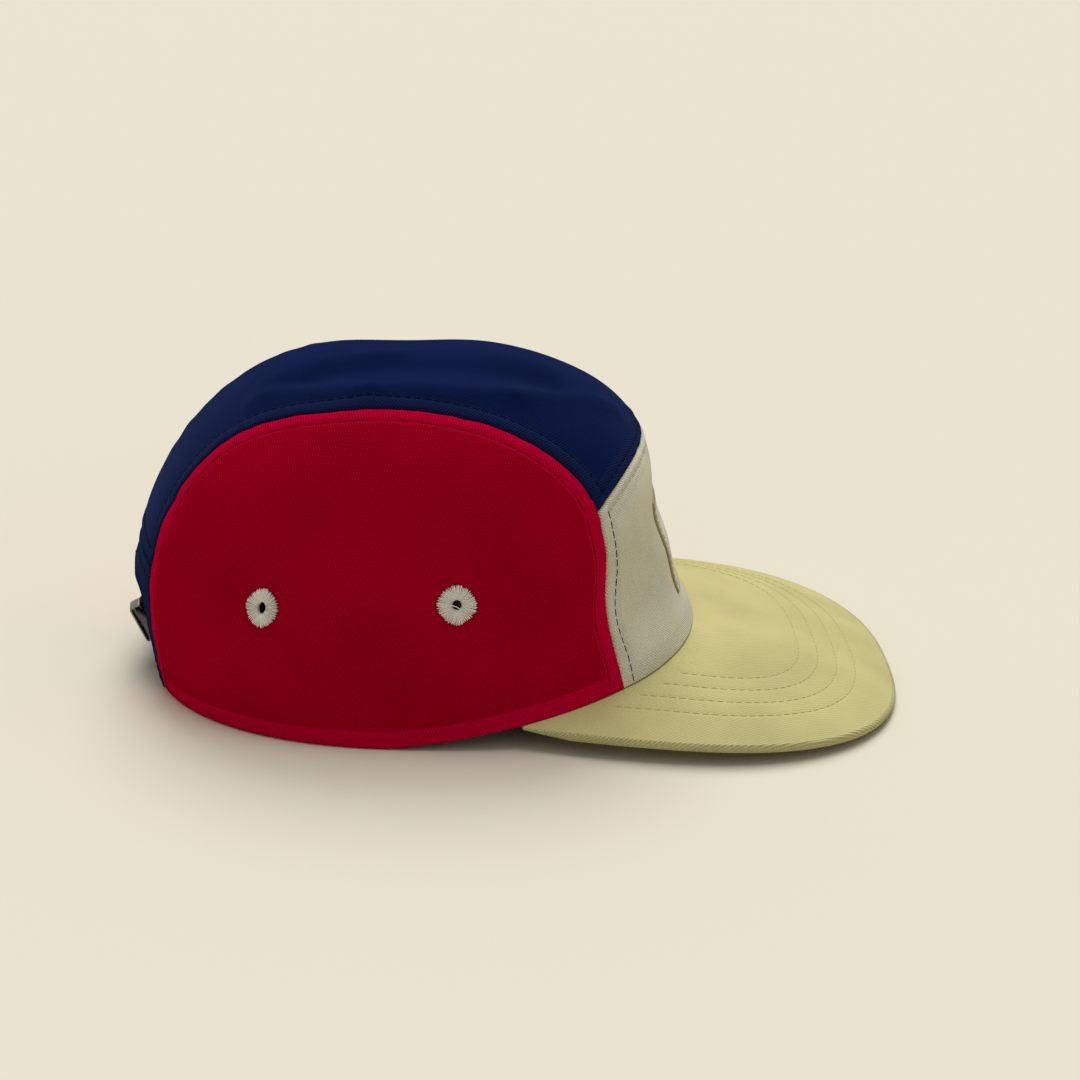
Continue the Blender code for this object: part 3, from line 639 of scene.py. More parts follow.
def shell_faces(rows, columns, holes=()):
    """Quads of an outer and an inner grid of the same size, joined round their rim and round each hole.

    A hole is the first and last row and column of the square of grid points that it leaves out.
    """
    outer = np.arange(rows * columns).reshape(rows, columns)
    inner = outer + rows * columns
    keep = np.ones((rows - 1, columns - 1), bool)
    loops = [round_loop(outer)[::-1]]
    for top, bottom, left, right in holes:
        keep[top:bottom, left:right] = False
        loops.append(round_loop(outer[top : bottom + 1, left : right + 1]))
    quads = [
        np.stack([outer[:-1, :-1], outer[1:, :-1], outer[1:, 1:], outer[:-1, 1:]], axis=-1)[keep],
        np.stack([inner[:-1, :-1], inner[:-1, 1:], inner[1:, 1:], inner[1:, :-1]], axis=-1)[keep],
    ]
    for loop in loops:
        after = np.roll(loop, -1)
        quads.append(np.stack([loop, after, after + rows * columns, loop + rows * columns], axis=-1))
    return [np.concatenate(quads)]


def panel(name, grid, guess, seams, free, look, eyelets=()):
    """One panel of the crown: a shell one cloth thick, shaped by cloth_lift.

    Inside, the seams' turned edges lie flat along them and the hem is turned up, so the shell is thicker
    there. At a free edge both faces close in on the cloth's middle in a quarter circle. A panel whose
    first column lies low stands on the hem, and is levelled along it.
    """
    base = push_out(grid)
    holes = []
    for centre in eyelets:
        away = np.linalg.norm(base - centre, axis=-1)
        i, j = np.unravel_index(away.argmin(), away.shape)
        m = round(EYELET_OPEN / np.linalg.norm(base[i + 1, j] - base[i, j]))
        n = round(EYELET_OPEN / np.linalg.norm(base[i, j + 1] - base[i, j]))
        ring = np.zeros(away.shape, bool)
        ring[i - m : i + m + 1, j - n : j + n + 1] = True
        ring[i - m + 1 : i + m, j - n + 1 : j + n] = False
        base[ring] = centre + (base[ring] - centre) * (EYELET_OPEN / away[ring])[:, None]
        holes.append((i - m, i + m, j - n, j + n))
    slack, face, edge = cloth_lift(base, seams, free)
    for centre in eyelets:
        away = np.linalg.norm(base - centre, axis=-1)
        face -= EYELET_PULL * bell(away, EYELET_RADIUS, EYELET_PULL_WIDTH)
    inside = CLOTH + ALLOWANCE_THICKNESS / (1.0 + np.exp((edge - ALLOWANCE) / ALLOWANCE_SOFTNESS))
    for line, turned in free:
        distance, _ = nearest(line, base)
        closed = CLOTH / 2.0 * (1.0 - np.sqrt(1.0 - 0.98 * (1.0 - distance / (CLOTH / 2.0)).clip(0.0) ** 2))
        face -= closed
        fold = ALLOWANCE_THICKNESS / (1.0 + np.exp((distance - turned) / ALLOWANCE_SOFTNESS))
        inside += (fold * (distance / 0.002)).clip(0.0, ALLOWANCE_THICKNESS) - closed
        edge = np.minimum(edge, distance)
    out = crown_normal(base)
    outer = base + (slack + face)[..., None] * out
    inner = base + (slack - inside)[..., None] * out
    on_hem = base[:, 0, 2].max() < HEM_HIGHEST
    for layer in (outer, inner):
        if on_hem:
            level = hem_height(-base[:, 0, 1]) - layer[:, 0, 2]
            away = np.linalg.norm(base - base[:, :1], axis=-1)
            layer[..., 2] += level[:, None] * bell(away, 0.0, HEM_LEVELLED)
        layer[..., 2] = layer[..., 2].clip(0.0)
    points = np.concatenate([outer, inner]).reshape(-1, 3)
    flats = np.tile(cut_flat(base, guess).reshape(-1, 2), (2, 1))
    faces = shell_faces(*base.shape[:2], holes)
    make_piece(f"{name}_cloth", points, faces, look, flats, np.tile(edge.ravel(), 2), [name])


def eyelet_centre(side, forward_share, up_share):
    """The middle of an eyelet on the crown."""
    forward = forward_share * (CROWN_FRONT if forward_share > 0.0 else CROWN_BACK)
    return push_out(side_wall(forward, up_share * CROWN_HEIGHT, side))


CROSS_ANGLE = float(side_angle(end_wall(0.0, ARCH_HEIGHT + ARCH_BAND, -1)))
# The red's large share on its turned edges is mostly a painted highlight for light falling from above on the
# band beside the top seam.
red = twill("red_cotton_twill", RED_WALE, RED_VALLEY, 64.0, RED_WEAR_AND_HIGHLIGHT, 0.8, rubbing_and_highlight=0.7)
strip_lines = {}
edge_lines = {}
side_seams = {}
side_hems = {}
for side in (-1, 1):
    strip_lines[side] = even(push_out(strip_seam(side, np.linspace(0.0, 1.0, 900))), 700)
    edge_lines[side] = even(push_out(front_edge(side, np.linspace(0.0, 1.0, 300))), 220)
    side_seams[side] = [(strip_lines[side], STITCH_ROW, 20 + side), (edge_lines[side], STITCH_ROW, 30 + side)]
for side, word in ((-1, "right"), (1, "left")):
    along = steps(290, 0.50)
    up = steps(150, 0.72)
    top = strip_seam(side, SHOULDER * (1.0 - along))
    left = strip_seam(side, 1.0 - (1.0 - SHOULDER) * up)
    right = front_edge(side, 1.0 - up)
    grid, guess, hem_line = patch_on_hem(top, left, right, along, up, 1.15)
    guess = guess * [side, 1.0]
    side_hems[side] = [(even(push_out(hem_line), 600), HEM_TURNED)]
    centres = [eyelet_centre(side, *shares) for _, *shares in EYELET_PLACES]
    panel(f"side_panel_{word}", grid, guess, side_seams[side], side_hems[side], red, centres)


# Top panel
# One strip of navy cotton twill runs from the forehead seam over the crown to the cross seam at the back.
# It is cut lengthwise, so that its wales cross the strip at a shallow slant.

# The forehead seam's angle in the middle, the power of its curve down to the corners, the distance of its
# stitches, and the strip's length in the flat cloth.
FRONT_SEAM_ANGLE = 48.3
FRONT_SEAM_POWER = 1.1
FRONT_ROW = 0.0030
STRIP_LENGTH = 0.24
NAVY_WALE = "0F1E4C"
NAVY_VALLEY = "091539"
NAVY_WORN = "5A6690"


def front_seam_angle(share):
    """Angle of the seam between the front and top panels: a power curve from its middle to its corners."""
    slant = FRONT_CORNER_ANGLE - FRONT_SEAM_ANGLE
    return np.radians(FRONT_SEAM_ANGLE + slant * np.abs(share) ** FRONT_SEAM_POWER)


def across_strip(angle, share):
    """Points of the crown at shares of the strip's half width."""
    return crown_at(angle, share * strip_half_width(angle))


navy = twill("navy_cotton_twill", NAVY_WALE, NAVY_VALLEY, 45.0, NAVY_WORN, 0.25, 0.04, fleck=0.02, sheen=0.22)
shares = np.linspace(-1.0, 1.0, 400)
corner_width = strip_half_width(np.radians(FRONT_CORNER_ANGLE))
front_line = even(push_out(crown_at(front_seam_angle(shares), shares * corner_width)), 260)
cross_line = even(push_out(across_strip(CROSS_ANGLE, shares)), 200)
top_seams = [
    (strip_lines[-1], STITCH_ROW, 19),
    (strip_lines[1], STITCH_ROW, 21),
    (front_line, FRONT_ROW, 40),
    (cross_line, STITCH_ROW, 50),
]
share = (2.0 * steps(110, 0.68) - 1.0)[:, None]
way = steps(340, 0.62)[None, :]
start = front_seam_angle(share)
angle = start + way * (CROSS_ANGLE - start)
grid = across_strip(angle, share)
guess = np.stack([-STRIP_LENGTH * np.broadcast_to(way, angle.shape), grid[..., 0]], axis=-1)
panel("top_panel", grid, guess, top_seams, [], navy)


# Back panel
# The same navy twill closes the back in a band round the arched opening, whose edge is turned in and
# stitched down. Its two legs reach the hem.

ARCH_ROUNDNESS = 2.6
ARCH_LEG = 0.006
ARCH_ROW = 0.0032
ARCH_TURNED = 0.007
arch_half_width = float(strip_half_width(math.pi)) - ARCH_LEG


def arch_point(share):
    """Points of the arch's edge from one foot over the top to the other: a superellipse in front view."""
    turn = math.pi * share
    across = -arch_half_width * np.sign(np.cos(turn)) * np.abs(np.cos(turn)) ** (2.0 / ARCH_ROUNDNESS)
    return end_wall(across, ARCH_HEIGHT * np.sin(turn).clip(0.0) ** (2.0 / ARCH_ROUNDNESS), -1)


rising = steps(90, 0.5)
outline = np.concatenate([
    strip_seam(-1, 1.0 - (1.0 - CROSS_SEAM) * rising),
    across_strip(CROSS_ANGLE, 2.0 * steps(100, 0.5) - 1.0)[1:-1],
    strip_seam(1, CROSS_SEAM + (1.0 - CROSS_SEAM) * rising),
])
arch_line = even(arch_point(np.linspace(0.0, 1.0, 4000)), 500)
arch = even(arch_line, len(outline))
inward = steps(26, 0.72)[None, :, None]
grid = outline[:, None] + inward * (arch - outline)[:, None]
guess = np.stack([grid[..., 2], grid[..., 0]], axis=-1)
back_seams = [top_seams[0], top_seams[1], top_seams[3]]
arch_edge = [(arch_line, ARCH_TURNED)]
panel("back_panel", grid, guess, back_seams, arch_edge, navy)


# Front panel
# Cream cotton twill, one piece from temple to temple. It stands on the peak and leans forward over it, and
# sinks in a soft dent beside each red panel.

CREAM_WALE = "DFDAC4"
CREAM_VALLEY = "CDC8AE"
CREAM_WORN = "F2EFE2"
CREAM_ROW = 0.0042

cream = twill("cream_cotton_twill", CREAM_WALE, CREAM_VALLEY, -50.0, CREAM_WORN, 0.35, fleck=0.06)
along = steps(170, 0.6)
up = steps(80, 0.7)
left = front_edge(-1, 1.0 - up)
right = front_edge(1, 1.0 - up)
top = crown_at(front_seam_angle(2.0 * along - 1.0), (2.0 * along - 1.0) * corner_width)
grid, guess, hem_line = patch_on_hem(top, left, right, along, up, 1.1)
front_seams = [
    (edge_lines[-1], CREAM_ROW, 29),
    (edge_lines[1], CREAM_ROW, 31),
    (front_line, FRONT_ROW, 40),
]
front_hem = [(even(push_out(hem_line), 500), HEM_TURNED)]
panel("front_panel", grid, guess, front_seams, front_hem, cream)


# Topstitches
# Rows of cotton thread beside every seam, about 3 mm to the stitch, hold down the edges turned in behind the
# cloth. Each stitch rises out of one needle hole and dips into the next.

THREAD_RADIUS = 0.00017
THREAD_SIDES = 6
PLY_PITCH = 0.00042
PLY_SLANT = 35.0
STITCH_PITCH = 0.0032
STITCH_LENGTH = 0.0027
RED_STITCH_LENGTH = 0.0031
CREAM_STITCH_LENGTH = 0.00285
HOLE_SHADE_RADIUS = 0.00034

# A stitch, and a bead of painted shade in a needle hole, from end to end: shares of the length along, then
# of the radius up and round.
STITCH_ALONG = np.array([-0.5, -0.42, -0.2, 0.2, 0.42, 0.5])
STITCH_UP = np.array([-1.6, -0.1, 0.45, 0.45, -0.1, -1.6])
STITCH_ROUND = np.array([0.6, 0.95, 1.0, 1.0, 0.95, 0.6])
HOLE_SHADE_ALONG = np.array([-1.0, -0.6, 0.0, 0.6, 1.0])
HOLE_SHADE_ROUND = np.array([0.3, 0.85, 1.0, 0.85, 0.3])

# The row on the cream wanders: shares of the way down and metres farther from the seam.
CREAM_ROW_WANDER = (
    (0.00, -0.0002), (0.20, 0.0003), (0.38, 0.0006), (0.56, -0.0011), (0.66, -0.0008),
    (0.82, 0.0000), (1.00, 0.0001),
)


def thread(name, colour, shade, painted_end_shade, sheen=0.03, ply=0.00005):
    """Two-ply sewing thread: its twist shows as slanting stripes, "ply" deep. Its ends, where it dips into
    the cloth, turn to a darker colour, which is painted shade for the shadow in the needle holes.
    """
    made, tree, shader = start_material(name, 0.9, sheen, colour)
    flat = attribute(tree, "flat", "Vector")
    twist = wave(tree, count_along(tree, flat, PLY_SLANT, PLY_PITCH))
    tone = blend(tree, spread(tree, twist, -1.0, 1.0), linear(shade), linear(colour))
    uneven = spread(tree, noise(tree, flat, 300.0, 2.0), 0.3, 0.7, 0.85, 1.15)
    tone = blend(tree, 1.0, tone, uneven, "MULTIPLY")
    # Painted shade near each end, where the thread dips into the cloth: it darkens towards the end colour.
    above = spread(tree, attribute(tree, "edge", "Fac"), 0.00025, 0.0006)
    finish_material(tree, shader, blend(tree, above, linear(painted_end_shade), tone), twist, ply)
    return made


def band(here, there):
    """Quads between closed rings of corner numbers and the rings after them."""
    quads = np.stack([here, there, np.roll(there, -1, axis=-1), np.roll(here, -1, axis=-1)], axis=-1)
    return quads.reshape(-1, 4)


def tubes(paths, outs, radii, sides):
    """Closed tubes round many paths of the same number of points: rings of corners, joined and capped.

    Also gives each corner's place along and round its tube and its distance from the nearer end.
    """
    way = unit(np.gradient(paths, axis=1))
    across = unit(np.cross(way, outs))
    up = np.cross(across, way)
    turn = np.linspace(0.0, 2.0 * math.pi, sides, endpoint=False)
    spoke = np.cos(turn)[:, None] * across[:, :, None] + np.sin(turn)[:, None] * up[:, :, None]
    radii = np.broadcast_to(radii, paths.shape[:2])
    points = paths[:, :, None] + radii[..., None, None] * spoke
    index = np.arange(points[..., 0].size).reshape(points.shape[:3])
    length = np.linalg.norm(np.diff(paths, axis=1, prepend=paths[:, :1]), axis=-1).cumsum(axis=1)
    ends = np.minimum(length, length[:, -1:] - length)
    length = length + 0.0137 * np.arange(len(paths))[:, None]
    flat = np.stack(np.broadcast_arrays(length[..., None], radii[..., None] * turn), axis=-1)
    faces = [band(index[:, :-1], index[:, 1:]), index[:, 0], index[:, -1, ::-1]]
    return points.reshape(-1, 3), faces, flat.reshape(-1, 2), ends.repeat(sides)


def join(bodies):
    """Several bodies as one: their points, their faces and what else is known of each point."""
    start = np.cumsum([0] + [len(body[0]) for body in bodies])
    faces = [corners + first for body, first in zip(bodies, start) for corners in body[1]]
    rest = [np.concatenate(parts) for parts in zip(*(body[2:] for body in bodies))]
    return np.concatenate([body[0] for body in bodies]), faces, *rest


def stitches(line, outs, pitch=STITCH_PITCH, radius=THREAD_RADIUS, length=STITCH_LENGTH):
    """Stitches along a line of close-set points: tubes that rise from the cloth and dip back into it.

    Where one ends close to where the next begins, a short tube in the threads' painted end shade stands in
    for the shadow in the needle's hole.
    """
    known = distances_along(line)
    count = max(int(known[-1] / pitch), 1)
    middles = (np.arange(count)[:, None] + 0.5) * known[-1] / count

    def tubes_at(places, lift, radii):
        out = unit(read_line(outs, known, places))
        return tubes(read_line(line, known, places) + lift * out, out, radii, THREAD_SIDES)

    rows = [tubes_at(middles + length * STITCH_ALONG, radius * STITCH_UP[:, None], radius * STITCH_ROUND)]
    if pitch - length < HOLE_SHADE_RADIUS:
        holes = middles[:-1] + pitch / 2.0
        places = holes + HOLE_SHADE_RADIUS * HOLE_SHADE_ALONG
        # A bead of painted shade in each needle hole: its distance from an end is nothing, so it all takes
        # the dark end colour.
        *knots, ends = tubes_at(places, -0.5 * HOLE_SHADE_RADIUS, HOLE_SHADE_RADIUS * HOLE_SHADE_ROUND)
        rows.append((*knots, 0.0 * ends))
    return join(rows)


def seam_row(seam, distance, seams, free, trim_start, trim_end, length=STITCH_LENGTH):
    """A row of stitches on the cloth's face and again on its back, at a distance from a seam, to the seam's
    own right where it is positive, and short of the seam's start and end by the two trims.
    """
    across = unit(np.cross(crown_normal(seam), unit(np.gradient(seam, axis=0))))
    line = push_out(seam + np.reshape(distance, (-1, 1)) * across)
    known = distances_along(line)
    line = even(line[(known >= trim_start) & (known <= known[-1] - trim_end)], 400)
    out = crown_normal(line)
    slack, face, _ = cloth_lift(line, seams, free)
    outside = line + (slack + face)[:, None] * out
    inside = line + (slack - CLOTH - ALLOWANCE_THICKNESS)[:, None] * out
    return join([stitches(outside, out, length=length), stitches(inside, -out, length=length)])


def stitch_piece(name, rows, look):
    """One piece of several rows."""
    points, faces, flat, ends = join(rows)
    make_piece(name, points, faces, look, flat, ends)


# The last colour of each thread is the painted shade at its ends.
red_thread = thread("dark_red_thread", "96001A", "7C0012", "2C0006")
navy_thread = thread("dark_navy_thread", "131A3C", "0A0F26", "04060F")
cream_thread = thread("cream_thread", "DAD5C2", "C8C3AF", "B4AF9B")
red_rows = []
strip_rows = []
edge_rows = []
for side in (-1, 1):
    red_cloth = (side_seams[side], side_hems[side], 0.0013, 0.0010, RED_STITCH_LENGTH)
    red_rows.append(seam_row(strip_lines[side], -side * STITCH_ROW, *red_cloth))
    red_rows.append(seam_row(edge_lines[side], side * STITCH_ROW, *red_cloth))
    strip_rows.append(seam_row(strip_lines[side], side * STITCH_ROW, top_seams, arch_edge, 0.0035, 0.0010))
    share, wander = np.array(CREAM_ROW_WANDER).T
    row = CREAM_ROW + spline(np.linspace(0.0, 1.0, len(edge_lines[side])), share, wander)
    cream_cloth = (front_seams, front_hem, 0.0, 0.0010, CREAM_STITCH_LENGTH)
    edge_rows.append(seam_row(edge_lines[side], -side * row, *cream_cloth))
front_rows = [seam_row(front_line, -FRONT_ROW, front_seams, front_hem, 0.0020, 0.0020)]
for seam, distance, seams, free, trim in (
    (front_line, FRONT_ROW, top_seams, [], 0.0030),
    (cross_line, -STITCH_ROW, top_seams, [], 0.0050),
    (cross_line, STITCH_ROW, back_seams, arch_edge, 0.0050),
    (arch_line, -ARCH_ROW, back_seams, arch_edge, 0.0010),
):
    strip_rows.append(seam_row(seam, distance, seams, free, trim, trim))
stitch_piece("red_topstitches", red_rows, red_thread)
stitch_piece("navy_topstitches", strip_rows, navy_thread)
stitch_piece("dark_topstitches_on_cream", edge_rows, navy_thread)
stitch_piece("cream_topstitches", front_rows, cream_thread)


# Eyelets
# Four vent holes, two on each side, are bound with pale thread: satin stitches radiate from the hole over a
# padded ring, and their outer ends fan out unevenly so that the red shows between them.

EYELET_THREADS = 104
EYELET_RISE = 0.00085
EYELET_SEED = 70

# One satin stitch: shares of the way from the hole to its end, of EYELET_RISE and of its even width.
SATIN_ALONG = np.array([0.0, 0.02, 0.10, 0.25, 0.42, 0.60, 0.76, 0.88, 0.96, 1.0])
SATIN_RISE = np.array([-1.0, -0.2, 0.62, 0.92, 1.0, 0.95, 0.78, 0.52, 0.18, -0.22])
SATIN_WIDTH = np.array([1.5, 1.4, 1.3, 1.25, 1.15, 1.05, 0.95, 0.85, 0.70, 0.45])

# Each eyelet's width as a share of its height, and half its hole's width and height in metres.
EYELET_FORMS = {
    "front": (1.00, 0.0015, 0.0016),
    "rear": (0.86, 0.0012, 0.0019),
}

# The padding's section: share of the way from the hole to the threads' ends, and metres out of the crown.
EYELET_PAD = (
    (0.10, -0.00150), (0.03, -0.00100), (0.01, -0.00050), (0.04, 0.00010), (0.20, 0.00042),
    (0.42, 0.00055), (0.65, 0.00042), (0.81, 0.00016), (0.87, 0.00000), (0.81, -0.00006),
    (0.12, -0.00010), (0.12, -0.00140), (0.77, -0.00150), (0.73, -0.00172), (0.50, -0.00195),
    (0.27, -0.00185),
)

# A loose thread across the wearer's right front eyelet: metres forward, up and out of the crown.
LOOSE_THREAD = (
    (-0.0046, -0.0002, 0.0004), (-0.0034, 0.0001, 0.0010), (-0.0020, 0.0001, 0.0012),
    (-0.0006, -0.0004, 0.0011), (0.0006, -0.0010, 0.0010), (0.0016, -0.0016, 0.0008),
    (0.0021, -0.0020, 0.0003),
)


def on_crown(centre, level, climb, height):
    """Points round a place on the crown, from how far level, up and out of it they are."""
    out = crown_normal(centre)
    level_way = unit(np.cross([0.0, 0.0, 1.0], out))
    foot = push_out(centre + level[..., None] * level_way + climb[..., None] * np.cross(out, level_way))
    normal = crown_normal(foot)
    return foot + height[..., None] * normal, normal


def round_eyelet(form, share, turn, end=EYELET_RADIUS):
    """How far level and up from an eyelet's middle the places between its hole and its rim are."""
    wide, hole_wide, hole_high = form
    level = (hole_wide + share * (wide * end - hole_wide)) * np.cos(turn)
    climb = (hole_high + share * (end - hole_high)) * np.sin(turn)
    return level, climb


def eyelet_threads(centre, form, face, seed):
    """The satin stitches of one side of an eyelet, from the hole over a low dome to their ragged ends.

    The face is 1 outside and -1 inside the cap.
    """
    random = np.random.default_rng(seed)
    turn = (np.arange(EYELET_THREADS) + random.uniform(-0.25, 0.25, EYELET_THREADS)) / EYELET_THREADS
    swerve = random.normal(0.0, 0.020, (EYELET_THREADS, 1)) * np.linspace(-1.0, 1.0, len(SATIN_ALONG))
    turn = 2.0 * math.pi * turn[:, None] + swerve
    squarish = 1.0 + 0.03 * np.cos(4.0 * turn[:, :1])
    end = EYELET_RADIUS * squarish * random.uniform(0.93, 1.03, squarish.shape)
    level, climb = round_eyelet(form, SATIN_ALONG, turn, end)
    height = EYELET_RISE * SATIN_RISE * random.uniform(0.96, 1.04, (EYELET_THREADS, 1))
    if face < 0:
        height = -CLOTH - 0.7 * height
    paths, out = on_crown(centre, level, climb, height)
    width = SATIN_WIDTH * np.hypot(level, climb) * math.pi / EYELET_THREADS
    return tubes(paths, face * out, width, 5)


def eyelet_pad(centre, form):
    """The padding below the stitches, a closed ring through the cloth's hole, in rings round its section."""
    share, height = np.array(EYELET_PAD).T
    turn = np.linspace(0.0, 2.0 * math.pi, 48, endpoint=False)[:, None]
    level, climb = round_eyelet(form, share, turn)
    points, _ = on_crown(centre, level, climb, np.broadcast_to(height, level.shape))
    index = np.arange(level.size).reshape(level.shape)
    flat = np.stack([np.hypot(level, climb), np.broadcast_to(0.004 * turn, level.shape)], axis=-1)
    return points.reshape(-1, 3), [band(index, np.roll(index, -1, axis=0))], flat.reshape(-1, 2)


# The satin's last colour is painted shade at its ends, at the hole and where they dip into the red.
satin = thread("pale_satin_thread", "EEE8DE", "E0D9CE", "A79E93", 0.15, 0.00001)
padding = thread("shaded_eyelet_padding", "7E766B", "5C544B", "5C544B")
for side, word in ((-1, "right"), (1, "left")):
    for number, (name, *shares) in enumerate(EYELET_PLACES):
        centre = eyelet_centre(side, *shares)
        form = EYELET_FORMS[name]
        seed = EYELET_SEED + 2 * number + side
        bodies = [eyelet_threads(centre, form, 1, seed), eyelet_threads(centre, form, -1, seed + 9)]
        if side < 0 and name == "front":
            loose, out = on_crown(centre, *np.array(LOOSE_THREAD).T)
            bodies.append(tubes(loose[None], out[None], 0.00013, THREAD_SIDES))
        points, faces, flat, ends = join(bodies)
        node = f"eyelet_{word}_{name}"
        make_piece(f"{node}_threads", points, faces, satin, flat, ends, [node])
        points, faces, flat = eyelet_pad(centre, form)
        make_piece(f"{node}_padding", points, faces, padding, flat)


# Front label
# A woven label with a brown border is sewn on the middle of the front panel. Its face is left bare.

LABEL_HALF_WIDTH = 0.0205
LABEL_FOOT = HEM_RISE + 0.0105
LABEL_HEIGHT = 0.0325
LABEL_THICKNESS = 0.0007
LABEL_BORDER = 0.0009
LABEL_STITCH_INSET = 0.0019
LABEL_STITCH_PITCH = 0.0024
LABEL_STITCH_LENGTH = 0.0019
LABEL_THREAD_RADIUS = 0.00013
LABEL_ROUNDING = 0.00035
LABEL_SINK = 0.00005
LABEL_PUFF = 0.00010

# The pitches of the label's warp and weft, two to three times a real label's so that they show.
LABEL_WARP = 0.0006
LABEL_WEFT = 0.0005


def label_look():
    """Damask label cloth: an even weave, soft and dull, cream inside a border woven in brown."""
    made, tree, shader = start_material("woven_label_cloth", 0.7, 0.2)
    flat = attribute(tree, "flat", "Vector")
    edge = attribute(tree, "edge", "Fac")
    warp = wave(tree, count_along(tree, flat, 0.0, LABEL_WARP))
    weft = wave(tree, count_along(tree, flat, 90.0, LABEL_WEFT))
    weave = reckon(tree, "MULTIPLY", warp, weft)
    face = blend(tree, spread(tree, weave, -1.0, 1.0), linear("CFC9B4"), linear("E6E1D0"))
    brown = blend(tree, spread(tree, weave, -1.0, 1.0), linear("94815A"), linear("B3A27A"))
    border = spread(tree, edge, LABEL_BORDER, LABEL_BORDER - 0.0001)
    finish_material(tree, shader, blend(tree, border, face, brown), weave, 0.00005)
    return made


across = LABEL_HALF_WIDTH * (2.0 * steps(90, 0.8) - 1.0)[:, None]
up = LABEL_FOOT + LABEL_HEIGHT * steps(56, 0.8)[None, :]
base = end_wall(across, up, 1)
out = crown_normal(base)
half_height = LABEL_HEIGHT / 2.0
edge = np.minimum(LABEL_HALF_WIDTH - np.abs(across), half_height - np.abs(up - LABEL_FOOT - half_height))
slack, face, _ = cloth_lift(base, front_seams, front_hem)
rounded = LABEL_ROUNDING * (1.0 - np.sqrt(1.0 - (1.0 - edge / LABEL_ROUNDING).clip(0.0, 1.0) ** 2))
padded = LABEL_PUFF * (1.0 - np.exp(-edge / 0.0015)) - LABEL_PUFF * bell(edge, LABEL_STITCH_INSET, 0.0004)
foot = base + (slack + face - LABEL_SINK)[..., None] * out
top = base + (slack + face + LABEL_THICKNESS - rounded + padded)[..., None] * out
points = np.concatenate([top, foot]).reshape(-1, 3)
flat = np.tile(np.stack(np.broadcast_arrays(across, up), axis=-1).reshape(-1, 2), (2, 1))
edges = np.concatenate([edge.ravel(), np.zeros(edge.size)])
faces = shell_faces(*base.shape[:2])
make_piece("front_label_cloth", points, faces, label_look(), flat, edges, ["front_label"])
wide = LABEL_HALF_WIDTH - LABEL_STITCH_INSET
low = LABEL_FOOT + LABEL_STITCH_INSET
high = LABEL_FOOT + LABEL_HEIGHT - LABEL_STITCH_INSET
corners = np.array([(-wide, low), (-wide, high), (wide, high), (wide, low), (-wide, low)])
share = np.linspace(0.0, 1.0, 120)[:, None]
label_rows = []
for start, end in zip(corners[:-1], corners[1:]):
    line = end_wall(*(start + share * (end - start)).T, 1)
    out = crown_normal(line)
    slack, face, _ = cloth_lift(line, front_seams, front_hem)
    line = line + (slack + face + LABEL_THICKNESS + LABEL_SINK)[:, None] * out
    label_rows.append(stitches(line, out, LABEL_STITCH_PITCH, LABEL_THREAD_RADIUS, LABEL_STITCH_LENGTH))
stitch_piece("front_label_stitches", label_rows, cream_thread)


# Peak
# A stiff board is covered above and below with pale yellow cotton twill, seamed round the edge and quilted
# with four rows of stitches that follow the outline. It is sewn below the front's hem and droops at the tip.

PEAK_LENGTH = 0.071
PEAK_FLARE = 0.009
PEAK_THICKNESS = 0.003
PEAK_CORNER_WIDTH = 0.0008
PEAK_CORNER_TAPER = 0.016
PEAK_CORNER_THINNESS = 0.25
PEAK_BELOW_HEM = 0.0003
PEAK_ROOT_GAP = 0.00004
PEAK_CAMBER = 0.0015

# Where the corner and the widest place are, as shares of CROWN_FRONT, and the powers of the outline's curves
# and the droop.
PEAK_CORNER_AT = 0.345
PEAK_WIDEST_AT = 0.979
PEAK_TIP_ROUNDNESS = 2.2
PEAK_SIDE_ROUNDNESS = 2.6
PEAK_BACK_POWER = 1.7
PEAK_DROOP_POWER = 2.6

# The rounded edge: its radius as a share of the thickness, its squareness, and its seam's share of the way
# down and depth.
PEAK_EDGE_ROUNDING = 0.42
PEAK_EDGE_SQUARENESS = 2.4
PEAK_SEAM_AT = 0.72
PEAK_SEAM_DEPTH = 0.00022

# The rows of quilting stitches, by their distance from the edge, their dip, and the cloth's slack.
PEAK_STITCH_ROWS = (0.015, 0.022, 0.029, 0.036)
PEAK_ROW_END = 0.0025
PEAK_THREAD_RADIUS = 0.00014
QUILTING_DEPTH = 0.00022
QUILTING_WIDTH = 0.0008
PEAK_SLACK = 0.00012
PEAK_SLACK_LENGTH = 0.045
PEAK_SLACK_SEED = 81
PEAK_CALM = 0.004

# Points from corner to tip, from root to edge and round the edge.
PEAK_SECTIONS = 231
PEAK_ROWS = 84
PEAK_EDGE_ROWS = 12

YELLOW_WALE = "DAD299"
YELLOW_VALLEY = "B8AF74"
YELLOW_WORN = "EAE4BC"


def peak_corner(side):
    """Where the peak's edge leaves the crown's outer face."""
    forward = PEAK_CORNER_AT * CROWN_FRONT
    return side_wall(forward, hem_height(forward), side)


